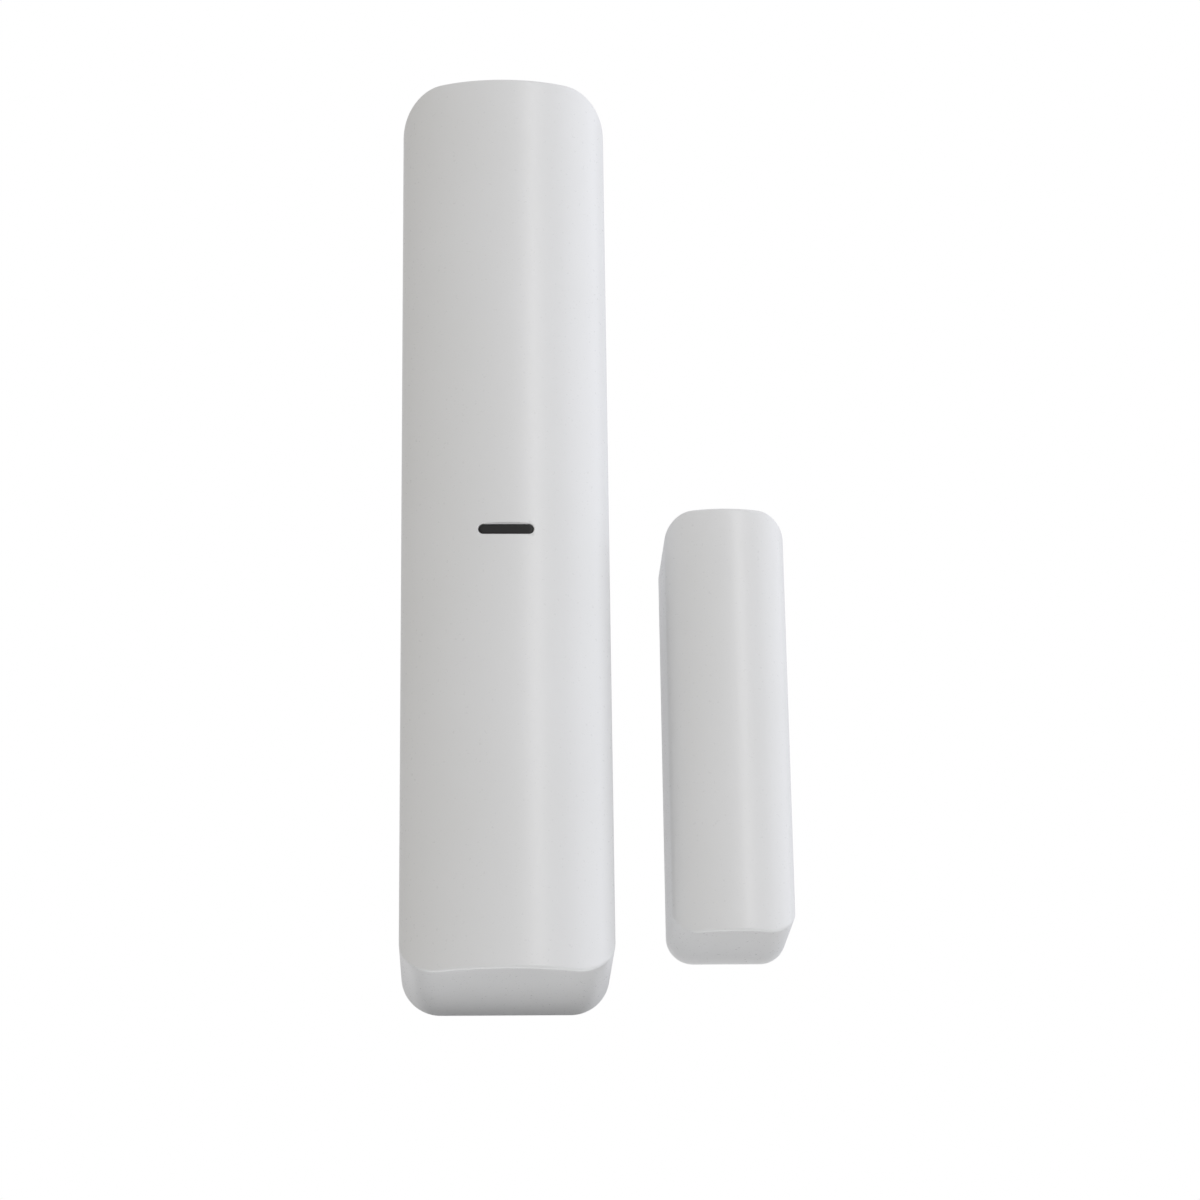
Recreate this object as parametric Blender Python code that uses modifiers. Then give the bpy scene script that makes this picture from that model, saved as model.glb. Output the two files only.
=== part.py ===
"""Wireless door contact sensor: a battery powered detector and its magnet unit, each on a wall plate.

Frame: X to the right, Z up, and the wall is the plane Y = 0. Both units stand out of the wall towards -Y.
Places are given as x, depth and z, where depth is the distance out of the wall, so Y = -depth.
The origin is on the wall, behind the middle of the detector.
"""

import math

import bmesh
import bpy
from mathutils import Matrix, Vector

MM = 0.001
FULL_TURN = 2 * math.pi
MERGE = 0.01 * MM
SHARP_ANGLE = math.radians(30)
EMPTY_SIZE = 5.0 * MM

# Clearances
SLIP = 0.3 * MM  # between neighbouring pieces that are clipped or set together
TOUCH = 0.05 * MM  # under a component that is soldered or pressed on
OVERLAP = 0.2 * MM  # how far a joined shape runs into its neighbour
BEYOND = 1.0 * MM  # how far a cutter runs past the face it opens
BATTERY_FRONT_GAP = 0.2 * MM  # between the cell and the inside of the cover
BOSS_SOLID = 0.5 * MM  # left at the foot of a screw hole in a boss

# Both units
PAD_THICKNESS = 0.8 * MM
PAD_CORNER = 1.0 * MM
PLATE_THICKNESS = 1.2 * MM
FLOOR_THICKNESS = 1.2 * MM
SHELL_WALL = 1.2 * MM
RIM_LIFT = 0.1 * MM  # cover rim in front of the plate's back face
BOW_STEPS = 24  # facets across a bowed front
CORNER_STEPS = 6
ROUND_STEPS = 32
COIL_POINTS = 12  # per turn

# Battery, size CR123A
BATTERY_RADIUS = 8.5 * MM
BATTERY_LENGTH = 34.5 * MM
BATTERY_NUB = 1.3 * MM
NUB_RADIUS = 3.2 * MM
CAP_RADIUS = 5.0 * MM
CAP_THICKNESS = 0.9 * MM
CAN_WALL = 0.3 * MM
SLEEVE_WALL = 0.2 * MM
CELL_GAP = 0.1 * MM  # between the can, its sleeve, its gasket and its cap
CONTACT_THICKNESS = 0.3 * MM
CONTACT_GAP = 0.1 * MM
CONTACT_HALF_WIDTH = 4.0 * MM
CONTACT_TAB_WIDTH = 2.0 * MM
CONTACT_TAB_REACH = 1.2 * MM  # onto the board
CONTACT_ARM_WIDTH = 1.2 * MM
SPRING_HEIGHT = 1.7 * MM
SPRING_WIRE = 0.3 * MM
SPRING_RADII = (4.6 * MM, 2.2 * MM)
SPRING_TURNS = 2.5
LEAD_WIRE = 0.4 * MM
LEAD_SIDE_GAP = 0.12 * MM
BULKHEAD_THICKNESS = 0.8 * MM
BULKHEAD_RISE = 4.2 * MM  # in front of the battery's axis
END_STOP_RISE = 3.2 * MM

# Detector
BODY_LENGTH = 90.0 * MM
BODY_BOW = 6.0 * MM  # how far the front falls back to its sides
BODY_CORNER = 3.8 * MM
DETECTOR_TRAVEL = 5.0 * MM  # upward slide that frees it from the hooks

# Chassis
CHASSIS_WALL = 0.9 * MM
CHASSIS_WALL_HEIGHT = 2.7 * MM
WELL_CORNER = 0.5 * MM
SNAP_Z = (24.0 * MM, -14.0 * MM)
SNAP_LENGTH = 4.0 * MM
SNAP_STAND = 0.2 * MM
SNAP_POCKET = 0.35 * MM
SNAP_HEIGHT = 0.8 * MM

# Hooks of the wall plates
HOOK_WIDTH = 1.2 * MM
HOOK_NECK = 1.2 * MM
HOOK_REACH = 2.0 * MM
HOOK_FOOT = 0.8 * MM
HOOK_EDGE_GAP = 0.25 * MM  # to the chassis wall
HOOK_SLOT_SIDE = 0.2 * MM
TOP_HOOK_DROP = 5.5 * MM  # below the chassis's top edge
HOOK_PITCH = 33.0 * MM
HOOK_PAIRS = 3

# Circuit board and what is on it
BOARD_DEPTH = 8.0 * MM
BOARD_THICKNESS = 1.0 * MM
BOARD_EDGE_GAP = 0.2 * MM
BOARD_CORNER = 1.0 * MM
LOWER_SCREW = (0.0, 7.2 * MM)  # x, and height above the board's foot
UPPER_SCREW = (0.5 * MM, 10.8 * MM)  # x, and depth below the board's top
SCREW_SHANK = 0.8 * MM
SCREW_LENGTH = 4.2 * MM
SCREW_HEAD = 1.7 * MM
SCREW_CROWN = 1.2 * MM
SCREW_RIM_HEIGHT = 0.7 * MM
SCREW_HEAD_HEIGHT = 1.2 * MM
SCREW_SLOT = 0.4 * MM
BOSS_RADIUS = 1.7 * MM
BOSS_HOLE = 1.0 * MM
REED_INSET = 1.7 * MM  # from the board's edge
REED_RADIUS = 1.1 * MM
REED_BORE = 0.65 * MM
REED_LENGTH = 12.0 * MM
REED_WIRE = 0.25 * MM
REED_OFFSET = 0.28 * MM
REED_LAP = 0.8 * MM
REED_OUTREACH = 1.8 * MM
REED_HEIGHTS = {"lower": 13.2 * MM, "upper": 29.2 * MM}
ANTENNA_INSET = 2.8 * MM
ANTENNA_RADIUS = 2.0 * MM
ANTENNA_WIRE = 0.3 * MM
ANTENNA_DROPS = (13.5 * MM, 2.3 * MM)
ANTENNA_TURNS = 7
TERMINAL_WIDTH = 7.0 * MM
TERMINAL_DROPS = (7.1 * MM, 0.7 * MM)
TERMINAL_HEIGHT = 6.0 * MM
TERMINAL_WELL = 1.3 * MM
TERMINAL_WELL_SINK = 2.2 * MM
TERMINAL_SCREW_SINK = 0.7 * MM
TERMINAL_ENTRY = 1.1 * MM
TERMINAL_ENTRY_LENGTH = 3.3 * MM
TERMINAL_ENTRY_HEIGHT = 2.0 * MM
CAPACITOR_RADIUS = 2.0 * MM
CAPACITOR_HEIGHT = 5.2 * MM
CAPACITOR_GROOVE = 1.6 * MM
CAPACITOR_INSET = 2.5 * MM
CAPACITOR_RISE = 16.8 * MM
SHIELD_X = (-3.0 * MM, 3.8 * MM)
SHIELD_RISE = (20.4 * MM, 30.4 * MM)
SHIELD_HEIGHT = 2.2 * MM
SHIELD_WALL = 0.25 * MM
CHIP_HEIGHT = 0.9 * MM
CONTROLLER_X = (-2.5 * MM, 4.1 * MM)
CONTROLLER_RISE = (10.6 * MM, 17.6 * MM)
CRYSTAL_INSET = 2.1 * MM
CRYSTAL_RISE = 21.8 * MM
CRYSTAL_HALF = (1.6 * MM, 1.25 * MM)
CRYSTAL_CORNER = 0.5 * MM
CERAMIC_INSET = 1.8 * MM
CERAMIC_HALF = (1.0 * MM, 0.62 * MM)
CERAMIC_RISE = 5.0 * MM
CERAMIC_PITCH = 2.8 * MM
CERAMIC_COUNT = 3
LED_RISE = 1.8 * MM
LED_HALF = (1.0 * MM, 0.8 * MM)

# Indicator slot, and the light guide and collar behind it
SLOT_WIDTH = 5.4 * MM
SLOT_HEIGHT = 1.0 * MM
SLOT_GAP = 0.08 * MM
WINDOW_SINK = 0.3 * MM
FLANGE_HALF = (3.6 * MM, 1.2 * MM)
FLANGE_SINKS = (2.8 * MM, 1.9 * MM)  # behind the crest of the front
COLLAR_WALL = 0.9 * MM
COLLAR_SINK = 4.0 * MM
STEM_HALF = (1.6 * MM, 0.8 * MM)
RIBS_Z = (12.0 * MM, 27.0 * MM)
RIB_HALF_WIDTH = 4.4 * MM
RIB_HEIGHT = 1.5 * MM
RIB_THICKNESS = 0.8 * MM

# Switches behind the board
SWITCH_SIDE = 4.4 * MM
SWITCH_HEIGHT = 1.6 * MM
SWITCH_NUB = 0.9 * MM
SWITCH_NUB_HEIGHT = 0.25 * MM
PLUNGER_GAP = 0.16 * MM  # between a plunger and the edge of its hole
FLANGE_THICKNESS = 0.6 * MM
TAMPER_RISE = 18.2 * MM
TAMPER_STEM = 1.5 * MM
TAMPER_FLANGE = 2.3 * MM
TAMPER_NOSE = 0.8 * MM
TAMPER_TRAVEL = 0.8 * MM  # how far the plate holds it in
TAMPER_GAP = 0.2 * MM
TAMPER_NOSE_GAP = 0.4 * MM
TAMPER_EDGE = 0.15 * MM
TAMPER_SPRING = 1.65 * MM
TAMPER_SPRING_WIRE = 0.15 * MM
TAMPER_SPRING_TURNS = 2.5
RAMP_HALF_WIDTH = 2.0 * MM
BUTTON_RISE = 30.2 * MM
BUTTON_RADIUS = 1.9 * MM
BUTTON_FLANGE = 2.6 * MM
BUTTON_NOSE = 0.9 * MM
BUTTON_TRAVEL = 0.45 * MM
BUTTON_SINK = 0.3 * MM
BUTTON_EDGE = 0.2 * MM

# Wall plate of the detector
PLATE_HOLE = 2.0 * MM
PLATE_HOLE_SINK = 3.2 * MM
TOP_HOLE_DROP = 15.5 * MM  # below the plate's top edge
FOOT_HOLE_RISE = 10.5 * MM  # above the chassis's foot
CABLE_HOLE = 1.6 * MM
CABLE_DROP = 2.9 * MM
PAD_WIDTH = 13.0 * MM
PAD_HOLE_GAP = 0.3 * MM
LOWER_PAD_HOLE_GAP = 1.3 * MM
PAD_CABLE_GAP = 0.7 * MM
PAD_TAB_GAP = 1.2 * MM
TAB_HALF_WIDTH = 5.0 * MM
TAB_REACH = (-8.0 * MM, 9.0 * MM)  # below and above the plunger
TAB_CUT = 0.8 * MM
TAB_BRIDGE = 1.3 * MM
TAB_HOLE = 1.5 * MM
TAB_HOLE_DROP = 5.1 * MM  # below the plunger

# Magnet unit
UNIT_GAP = 5.5 * MM  # between the two units when the door is shut
MAGNET_RISE = 4.9 * MM  # its foot above the detector's foot
MAGNET_UNIT_WIDTH = 11.6 * MM
MAGNET_UNIT_LENGTH = 42.0 * MM
MAGNET_UNIT_FRONT = 14.4 * MM
MAGNET_UNIT_BOW = 3.2 * MM
MAGNET_UNIT_CORNER = 2.6 * MM
HOUSING_TRAVEL = 4.0 * MM
CARRIER_HEIGHT = 4.7 * MM
BAR_WIDTH = 6.0 * MM
BAR_THICKNESS = 5.0 * MM
BAR_LENGTH = 30.0 * MM
BAR_EDGE = 0.4 * MM
BAR_GAP = 0.15 * MM
MAGNET_HOOK_WIDTH = 2.0 * MM
MAGNET_HOOK_DROP = 3.5 * MM
MAGNET_PLATE_HOLE = 1.6 * MM
MAGNET_PLATE_HOLE_SINK = 2.6 * MM
MAGNET_TOP_HOLE_DROP = 6.5 * MM  # below the upper hook
MAGNET_FOOT_HOLE_RISE = 3.2 * MM  # above the plate's foot
MAGNET_PAD_GAP = 1.4 * MM
MAGNET_PAD_WIDTH = 6.4 * MM

# Depths that follow from the sizes above
PLATE_BACK = PAD_THICKNESS
PLATE_FRONT = PLATE_BACK + PLATE_THICKNESS
FLOOR_BACK = PLATE_FRONT + SLIP
FLOOR_FRONT = FLOOR_BACK + FLOOR_THICKNESS
WALL_TOP = FLOOR_FRONT + CHASSIS_WALL_HEIGHT
RIM_DEPTH = PLATE_BACK + RIM_LIFT
BOARD_FRONT = BOARD_DEPTH + BOARD_THICKNESS
ON_BOARD = BOARD_FRONT + TOUCH
LED_TOP = ON_BOARD + CHIP_HEIGHT
HOOK_TOP = FLOOR_FRONT + SLIP + HOOK_FOOT
SWITCH_BACK = BOARD_DEPTH - TOUCH - SWITCH_HEIGHT
NUB_BACK = SWITCH_BACK - SWITCH_NUB_HEIGHT
BATTERY_DEPTH = PLATE_FRONT + SLIP + BATTERY_RADIUS
BULKHEAD_DEPTH = BATTERY_DEPTH + BULKHEAD_RISE
END_STOP_DEPTH = BATTERY_DEPTH + END_STOP_RISE
LEAD_DEPTH = HOOK_TOP + OVERLAP + LEAD_WIRE

# The cover goes round the battery, and the chassis fills the cover
BODY_WIDTH = 2 * (BATTERY_RADIUS + SLIP + SHELL_WALL)
INNER_FRONT = BATTERY_DEPTH + BATTERY_RADIUS + BATTERY_FRONT_GAP
BODY_FRONT = INNER_FRONT + SHELL_WALL
INNER_HALF_WIDTH = BODY_WIDTH / 2 - SHELL_WALL
INNER_HALF_LENGTH = BODY_LENGTH / 2 - SHELL_WALL
CHASSIS_HALF_WIDTH = INNER_HALF_WIDTH - SLIP
CHASSIS_HALF_LENGTH = INNER_HALF_LENGTH - SLIP
CHASSIS_CORNER = BODY_CORNER - SHELL_WALL - SLIP
WELL_HALF_WIDTH = CHASSIS_HALF_WIDTH - CHASSIS_WALL
WELL_HALF_LENGTH = CHASSIS_HALF_LENGTH - CHASSIS_WALL
HOOK_X = WELL_HALF_WIDTH - HOOK_EDGE_GAP - HOOK_WIDTH / 2
HOOKS_Z = [
    CHASSIS_HALF_LENGTH - TOP_HOOK_DROP - HOOK_PITCH * pair for pair in range(HOOK_PAIRS)
]

# Stations along the battery bay, from its foot up
NEGATIVE_PLATE_Z = -WELL_HALF_LENGTH + CONTACT_GAP
SPRING_Z = NEGATIVE_PLATE_Z + CONTACT_THICKNESS + CONTACT_GAP
BATTERY_Z = SPRING_Z + SPRING_HEIGHT + CONTACT_GAP
BATTERY_TOP = BATTERY_Z + BATTERY_LENGTH
CAN_TOP = BATTERY_TOP - BATTERY_NUB
POSITIVE_PLATE_Z = BATTERY_TOP + CONTACT_GAP
BULKHEAD_Z = POSITIVE_PLATE_Z + CONTACT_THICKNESS + CONTACT_GAP
BOARD_FOOT = BULKHEAD_Z + BULKHEAD_THICKNESS + SLIP

# Places on the board, and of what lines up with them
BOARD_TOP = WELL_HALF_LENGTH - SLIP
BOARD_HALF_WIDTH = WELL_HALF_WIDTH - BOARD_EDGE_GAP
BOARD_SCREWS = {
    "lower": (LOWER_SCREW[0], BOARD_FOOT + LOWER_SCREW[1]),
    "upper": (UPPER_SCREW[0], BOARD_TOP - UPPER_SCREW[1]),
}
INDICATOR_Z = BOARD_FOOT + LED_RISE
TAMPER_Z = BOARD_FOOT + TAMPER_RISE
BUTTON_Z = BOARD_FOOT + BUTTON_RISE
REED_X = BOARD_HALF_WIDTH - REED_INSET
TAB_CONTACT_X = (
    BOARD_HALF_WIDTH - BOARD_CORNER - CONTACT_TAB_WIDTH,
    BOARD_HALF_WIDTH - BOARD_CORNER,
)
PLATE_HOLES_Z = (
    CHASSIS_HALF_LENGTH - TOP_HOLE_DROP,
    -CHASSIS_HALF_LENGTH + FOOT_HOLE_RISE,
)
CABLE_Z = CHASSIS_HALF_LENGTH - CABLE_DROP
TAB_Z = (TAMPER_Z + TAB_REACH[0], TAMPER_Z + TAB_REACH[1])
FLANGE_DEPTH = (BODY_FRONT - FLANGE_SINKS[0], BODY_FRONT - FLANGE_SINKS[1])
COLLAR_DEPTH = BODY_FRONT - COLLAR_SINK

# Magnet unit, measured from its own middle
MAGNET_X = BODY_WIDTH / 2 + UNIT_GAP + MAGNET_UNIT_WIDTH / 2
MAGNET_Z = -BODY_LENGTH / 2 + MAGNET_RISE + MAGNET_UNIT_LENGTH / 2
MAGNET_HALF_WIDTH = MAGNET_UNIT_WIDTH / 2 - SHELL_WALL - SLIP
MAGNET_HALF_LENGTH = MAGNET_UNIT_LENGTH / 2 - SHELL_WALL - SLIP
MAGNET_PLATE_CORNER = MAGNET_UNIT_CORNER - SHELL_WALL - SLIP
MAGNET_PLATE_FOOT = -MAGNET_HALF_LENGTH + HOUSING_TRAVEL + SLIP
MAGNET_TOP_HOOK = MAGNET_HALF_LENGTH - MAGNET_HOOK_DROP
MAGNET_HOLES_Z = (
    MAGNET_TOP_HOOK - MAGNET_TOP_HOLE_DROP,
    MAGNET_PLATE_FOOT + MAGNET_FOOT_HOLE_RISE,
)
MAGNET_HOOKS_Z = (MAGNET_TOP_HOOK, sum(MAGNET_HOLES_Z) / 2)
BAR_BACK = HOOK_TOP + SLIP + OVERLAP


def clear_scene():
    for old in list(bpy.data.objects):
        bpy.data.objects.remove(old, do_unlink=True)


def make_collection(name):
    collection = bpy.data.collections.new(name)
    bpy.context.scene.collection.children.link(collection)
    return collection


def make_material(name, colour, roughness, metallic=0.0):
    material = bpy.data.materials.new(name)
    material.use_nodes = True
    shader = material.node_tree.nodes["Principled BSDF"]
    shader.inputs["Base Color"].default_value = (*colour, 1.0)
    shader.inputs["Roughness"].default_value = roughness
    shader.inputs["Metallic"].default_value = metallic
    return material


clear_scene()
PARTS = make_collection("door_contact_sensor")
CUTTERS = make_collection("cutters")

WHITE_ABS = make_material("white_abs", (0.72, 0.72, 0.71), 0.42)
GREY_ABS = make_material("grey_abs", (0.55, 0.55, 0.54), 0.5)
SMOKED_LENS = make_material("smoked_lens", (0.03, 0.03, 0.03), 0.35)
FOAM_TAPE = make_material("foam_tape", (0.25, 0.25, 0.26), 0.9)
BOARD_GREEN = make_material("board_green", (0.02, 0.16, 0.06), 0.45)
BLACK_EPOXY = make_material("black_epoxy", (0.02, 0.02, 0.02), 0.55)
NICKEL = make_material("nickel_plate", (0.66, 0.64, 0.60), 0.3, 1.0)
COPPER = make_material("copper_wire", (0.72, 0.42, 0.26), 0.3, 1.0)
REED_GLASS = make_material("reed_glass", (0.45, 0.62, 0.55), 0.1)
BATTERY_WRAP = make_material("battery_wrap", (0.10, 0.16, 0.30), 0.35)
BATTERY_PASTE = make_material("battery_core", (0.05, 0.05, 0.05), 0.8)
TERMINAL_GREEN = make_material("terminal_green", (0.05, 0.30, 0.14), 0.5)
LED_WHITE = make_material("led_white", (0.80, 0.80, 0.76), 0.4)
CERAMIC = make_material("capacitor_ceramic", (0.42, 0.32, 0.22), 0.5)
BLACK_PVC = make_material("black_pvc", (0.03, 0.03, 0.03), 0.5)
GREY_SILICONE = make_material("grey_silicone", (0.30, 0.30, 0.31), 0.6)
MAGNET_NICKEL = make_material("magnet_nickel", (0.55, 0.55, 0.55), 0.25, 1.0)


def at(x, depth, z):
    return Vector((x, -depth, z))


def span(centre, half):
    return (centre - half, centre + half)


def place(name, mesh, material, centre):
    mesh.materials.clear()
    mesh.materials.append(material)
    mesh.shade_smooth()
    mesh.set_sharp_from_angle(angle=SHARP_ANGLE)
    made = bpy.data.objects.new(name, mesh)
    made.location = centre
    PARTS.objects.link(made)
    return made


def mesh_from(name, shape):
    mesh = bpy.data.meshes.new(name)
    shape.to_mesh(mesh)
    shape.free()
    return mesh


def block(name, x, depth, z, material=GREY_ABS, corner=0.0, steps=CORNER_STEPS):
    """A box between x, depth and z limits. A corner rounds its four edges that run out of the wall."""
    low, high = at(x[0], depth[1], z[0]), at(x[1], depth[0], z[1])
    size = high - low
    shape = bmesh.new()
    bmesh.ops.create_cube(shape, size=1.0, matrix=Matrix.Diagonal((*size, 1)))
    if corner:
        upright = [
            edge
            for edge in shape.edges
            if abs(edge.verts[0].co.y - edge.verts[1].co.y) > size.y / 2
        ]
        bmesh.ops.bevel(
            shape, geom=upright, offset=corner, segments=steps, profile=0.5, affect="EDGES"
        )
    return place(name, mesh_from(name, shape), material, (low + high) / 2)


def peg(name, radius, x, depth, z, material=GREY_ABS, steps=16, top_radius=None):
    """A round peg that stands out of the wall, from the first depth to the second."""
    shape = bmesh.new()
    bmesh.ops.create_cone(
        shape,
        cap_ends=True,
        segments=steps,
        radius1=radius,
        radius2=radius if top_radius is None else top_radius,
        depth=depth[1] - depth[0],
        matrix=Matrix.Rotation(math.pi / 2, 4, "X"),
    )
    return place(name, mesh_from(name, shape), material, at(x, sum(depth) / 2, z))


def turned(name, profile, centre, material, out_of_wall=False, steps=ROUND_STEPS):
    """A turned piece. The profile is (radius, height) pairs that run down the outer side."""
    shape = bmesh.new()
    points = [shape.verts.new((radius, 0, height)) for radius, height in profile]
    for first, second in zip(points, points[1:]):
        shape.edges.new((first, second))
    made = place(name, mesh_from(name, shape), material, centre)
    if out_of_wall:
        made.rotation_euler.x = math.pi / 2
    screw = made.modifiers.new("turn", "SCREW")
    screw.steps = screw.render_steps = steps
    screw.use_merge_vertices = True
    screw.merge_threshold = MERGE
    return made


def ring(name, inner, outer, heights, centre, material, **options):
    low, high = heights
    profile = [(inner, low), (inner, high), (outer, high), (outer, low), (inner, low)]
    return turned(name, profile, centre, material, **options)


def wire(name, points, radius, material, resolution=2):
    """A round wire through the points, placed by its first point."""
    curve = bpy.data.curves.new(name, "CURVE")
    curve.dimensions = "3D"
    curve.bevel_depth = radius
    curve.bevel_resolution = resolution
    curve.use_fill_caps = True
    spline = curve.splines.new("POLY")
    spline.points.add(len(points) - 1)
    for point, position in zip(spline.points, points):
        point.co = (*(position - points[0]), 1.0)
    curve.materials.append(material)
    made = bpy.data.objects.new(name, curve)
    made.location = points[0]
    PARTS.objects.link(made)
    return made


def coil_points(centre, axis, across, radii, length, turns):
    """Points of a coil that climbs along axis, with its first point in the direction across."""
    other = axis.cross(across)
    count = int(turns * COIL_POINTS)
    points = []
    for step in range(count + 1):
        share = step / count
        angle = share * turns * FULL_TURN
        radius = radii[0] + (radii[1] - radii[0]) * share
        offset = radius * (math.cos(angle) * across + math.sin(angle) * other)
        points.append(centre + offset + axis * (length * share))
    return points


def as_tool(tool):
    PARTS.objects.unlink(tool)
    CUTTERS.objects.link(tool)
    tool.hide_render = True
    tool.display_type = "WIRE"


def combine(target, tool, operation):
    modifier = target.modifiers.new(tool.name, "BOOLEAN")
    modifier.operation = operation
    modifier.solver = "EXACT"
    modifier.object = tool
    as_tool(tool)


def cut(target, tool):
    combine(target, tool, "DIFFERENCE")


def join(target, tool):
    combine(target, tool, "UNION")


def into(group, piece):
    """Parents a piece to a group's empty, with the shapes that cut it or join it."""
    piece.parent = group
    for modifier in piece.modifiers:
        if modifier.type == "BOOLEAN":
            into(group, modifier.object)


def make_group(name, pieces, centre=(0, 0, 0)):
    """An empty that carries the pieces that move together."""
    group = bpy.data.objects.new(name, None)
    group.empty_display_size = EMPTY_SIZE
    group.location = centre
    PARTS.objects.link(group)
    for piece in pieces:
        into(group, piece)
    return group


def bowed_block(name, width, length, depth, bow, corner, material=WHITE_ABS):
    """A block with rounded corners whose front bows out across its width as half an ellipse."""
    half = width / 2
    back, front = depth
    outline = [at(-half, back, 0), at(half, back, 0)]
    for step in range(BOW_STEPS + 1):
        angle = math.pi * step / BOW_STEPS
        outline.append(at(half * math.cos(angle), front - bow + bow * math.sin(angle), 0))
    curve = bpy.data.curves.new(name + "_section", "CURVE")
    curve.dimensions = "2D"
    curve.fill_mode = "BOTH"
    curve.extrude = length / 2
    spline = curve.splines.new("POLY")
    spline.points.add(len(outline) - 1)
    spline.use_cyclic_u = True
    for point, position in zip(spline.points, outline):
        point.co = (*position, 1.0)
    section = bpy.data.objects.new(name + "_section", curve)
    PARTS.objects.link(section)
    bpy.context.view_layer.update()
    graph = bpy.context.evaluated_depsgraph_get()
    mesh = bpy.data.meshes.new_from_object(section.evaluated_get(graph))
    bpy.data.objects.remove(section, do_unlink=True)
    shape = bmesh.new()
    shape.from_mesh(mesh)
    bmesh.ops.remove_doubles(shape, verts=shape.verts, dist=MERGE)
    bmesh.ops.recalc_face_normals(shape, faces=shape.faces)
    shape.to_mesh(mesh)
    shape.free()
    made = place(name, mesh, material, (0, 0, 0))
    outline_tool = block(
        name + "_outline",
        span(0, half),
        (back - BEYOND, front + BEYOND),
        span(0, length / 2),
        corner=corner,
    )
    combine(made, outline_tool, "INTERSECT")
    return made


def bowed_shell(name, width, length, front, bow, corner):
    """A bowed cover, open at the back, with the same wall all over."""
    shell = bowed_block(name, width, length, (RIM_DEPTH, front), bow, corner)
    cavity = bowed_block(
        name + "_cavity",
        width - 2 * SHELL_WALL,
        length - 2 * SHELL_WALL,
        (RIM_DEPTH - BEYOND, front - SHELL_WALL),
        bow - SHELL_WALL,
        corner - SHELL_WALL,
    )
    cut(shell, cavity)
    return shell


def wall_hook(plate, floor, name, x, neck_top, width, travel):
    """A hook on a wall plate that points up, and the slot that it needs in the floor in front of it."""
    neck_foot = neck_top - HOOK_NECK
    foot_depth = (FLOOR_FRONT + SLIP, HOOK_TOP)
    neck = block(
        name + "_neck",
        span(x, width / 2 - TOUCH),
        (PLATE_FRONT - OVERLAP, foot_depth[0] + OVERLAP),
        (neck_foot + TOUCH, neck_top),
    )
    foot = block(
        name + "_foot", span(x, width / 2), foot_depth, (neck_foot, neck_top + HOOK_REACH)
    )
    join(neck, foot)
    join(plate, neck)
    slot = block(
        name + "_slot",
        span(x, width / 2 + HOOK_SLOT_SIDE),
        (FLOOR_BACK - BEYOND, FLOOR_FRONT + OVERLAP),
        (neck_foot - travel - SLIP, neck_top + SLIP),
    )
    cut(floor, slot)


def screw_hole(plate, name, z, radius, sink_radius):
    """A screw hole through a wall plate, countersunk from the front."""
    cut(plate, peg(name, radius, 0, (PLATE_BACK - BEYOND, PLATE_FRONT + BEYOND), z))
    sink_depth = (PLATE_FRONT + radius - sink_radius, PLATE_FRONT + OVERLAP)
    cut(plate, peg(name + "_sink", radius, 0, sink_depth, z, top_radius=sink_radius + OVERLAP))


def make_chassis():
    """The inner tray that carries the board and battery and hangs on the wall plate."""
    chassis = block(
        "back_chassis",
        span(0, CHASSIS_HALF_WIDTH),
        (FLOOR_BACK, WALL_TOP),
        span(0, CHASSIS_HALF_LENGTH),
        GREY_ABS,
        corner=CHASSIS_CORNER,
    )
    well = block(
        "chassis_well",
        span(0, WELL_HALF_WIDTH),
        (FLOOR_FRONT, WALL_TOP + BEYOND),
        span(0, WELL_HALF_LENGTH),
        corner=WELL_CORNER,
        steps=3,
    )
    cut(chassis, well)
    bulkhead = block(
        "bulkhead",
        span(0, WELL_HALF_WIDTH + OVERLAP),
        (FLOOR_FRONT - OVERLAP, BULKHEAD_DEPTH),
        (BULKHEAD_Z, BULKHEAD_Z + BULKHEAD_THICKNESS),
    )
    join(chassis, bulkhead)
    end_stop = block(
        "end_stop",
        span(0, WELL_HALF_WIDTH - CHASSIS_WALL),
        (FLOOR_FRONT - OVERLAP, END_STOP_DEPTH),
        (-CHASSIS_HALF_LENGTH + OVERLAP, -WELL_HALF_LENGTH),
    )
    join(chassis, end_stop)
    for label, (x, z) in BOARD_SCREWS.items():
        boss_depth = (FLOOR_FRONT - OVERLAP, BOARD_DEPTH - TOUCH)
        join(chassis, peg(f"boss_{label}", BOSS_RADIUS, x, boss_depth, z))
        hole_depth = (FLOOR_FRONT + BOSS_SOLID, BOARD_DEPTH + BEYOND)
        cut(chassis, peg(f"boss_hole_{label}", BOSS_HOLE, x, hole_depth, z, steps=12))
    cut_battery_window(chassis)
    cut_contact_notches(chassis)
    through = (FLOOR_BACK - BEYOND, FLOOR_FRONT + BEYOND)
    cut(chassis, peg("plunger_hole", TAMPER_STEM + PLUNGER_GAP, 0, through, TAMPER_Z))
    cut(chassis, peg("button_hole", BUTTON_RADIUS + PLUNGER_GAP, 0, through, BUTTON_Z))
    cut(chassis, peg("cable_hole", CABLE_HOLE, 0, through, CABLE_Z))
    for number, z in enumerate(SNAP_Z):
        for side in (-1, 1):
            edge = side * (CHASSIS_HALF_WIDTH - OVERLAP)
            tip = side * (CHASSIS_HALF_WIDTH + SNAP_STAND)
            bump = block(
                f"snap_bump_{number}_{side}",
                (min(edge, tip), max(edge, tip)),
                (WALL_TOP - OVERLAP - SNAP_HEIGHT, WALL_TOP - OVERLAP),
                span(z, SNAP_LENGTH / 2),
            )
            join(chassis, bump)
    return chassis


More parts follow.
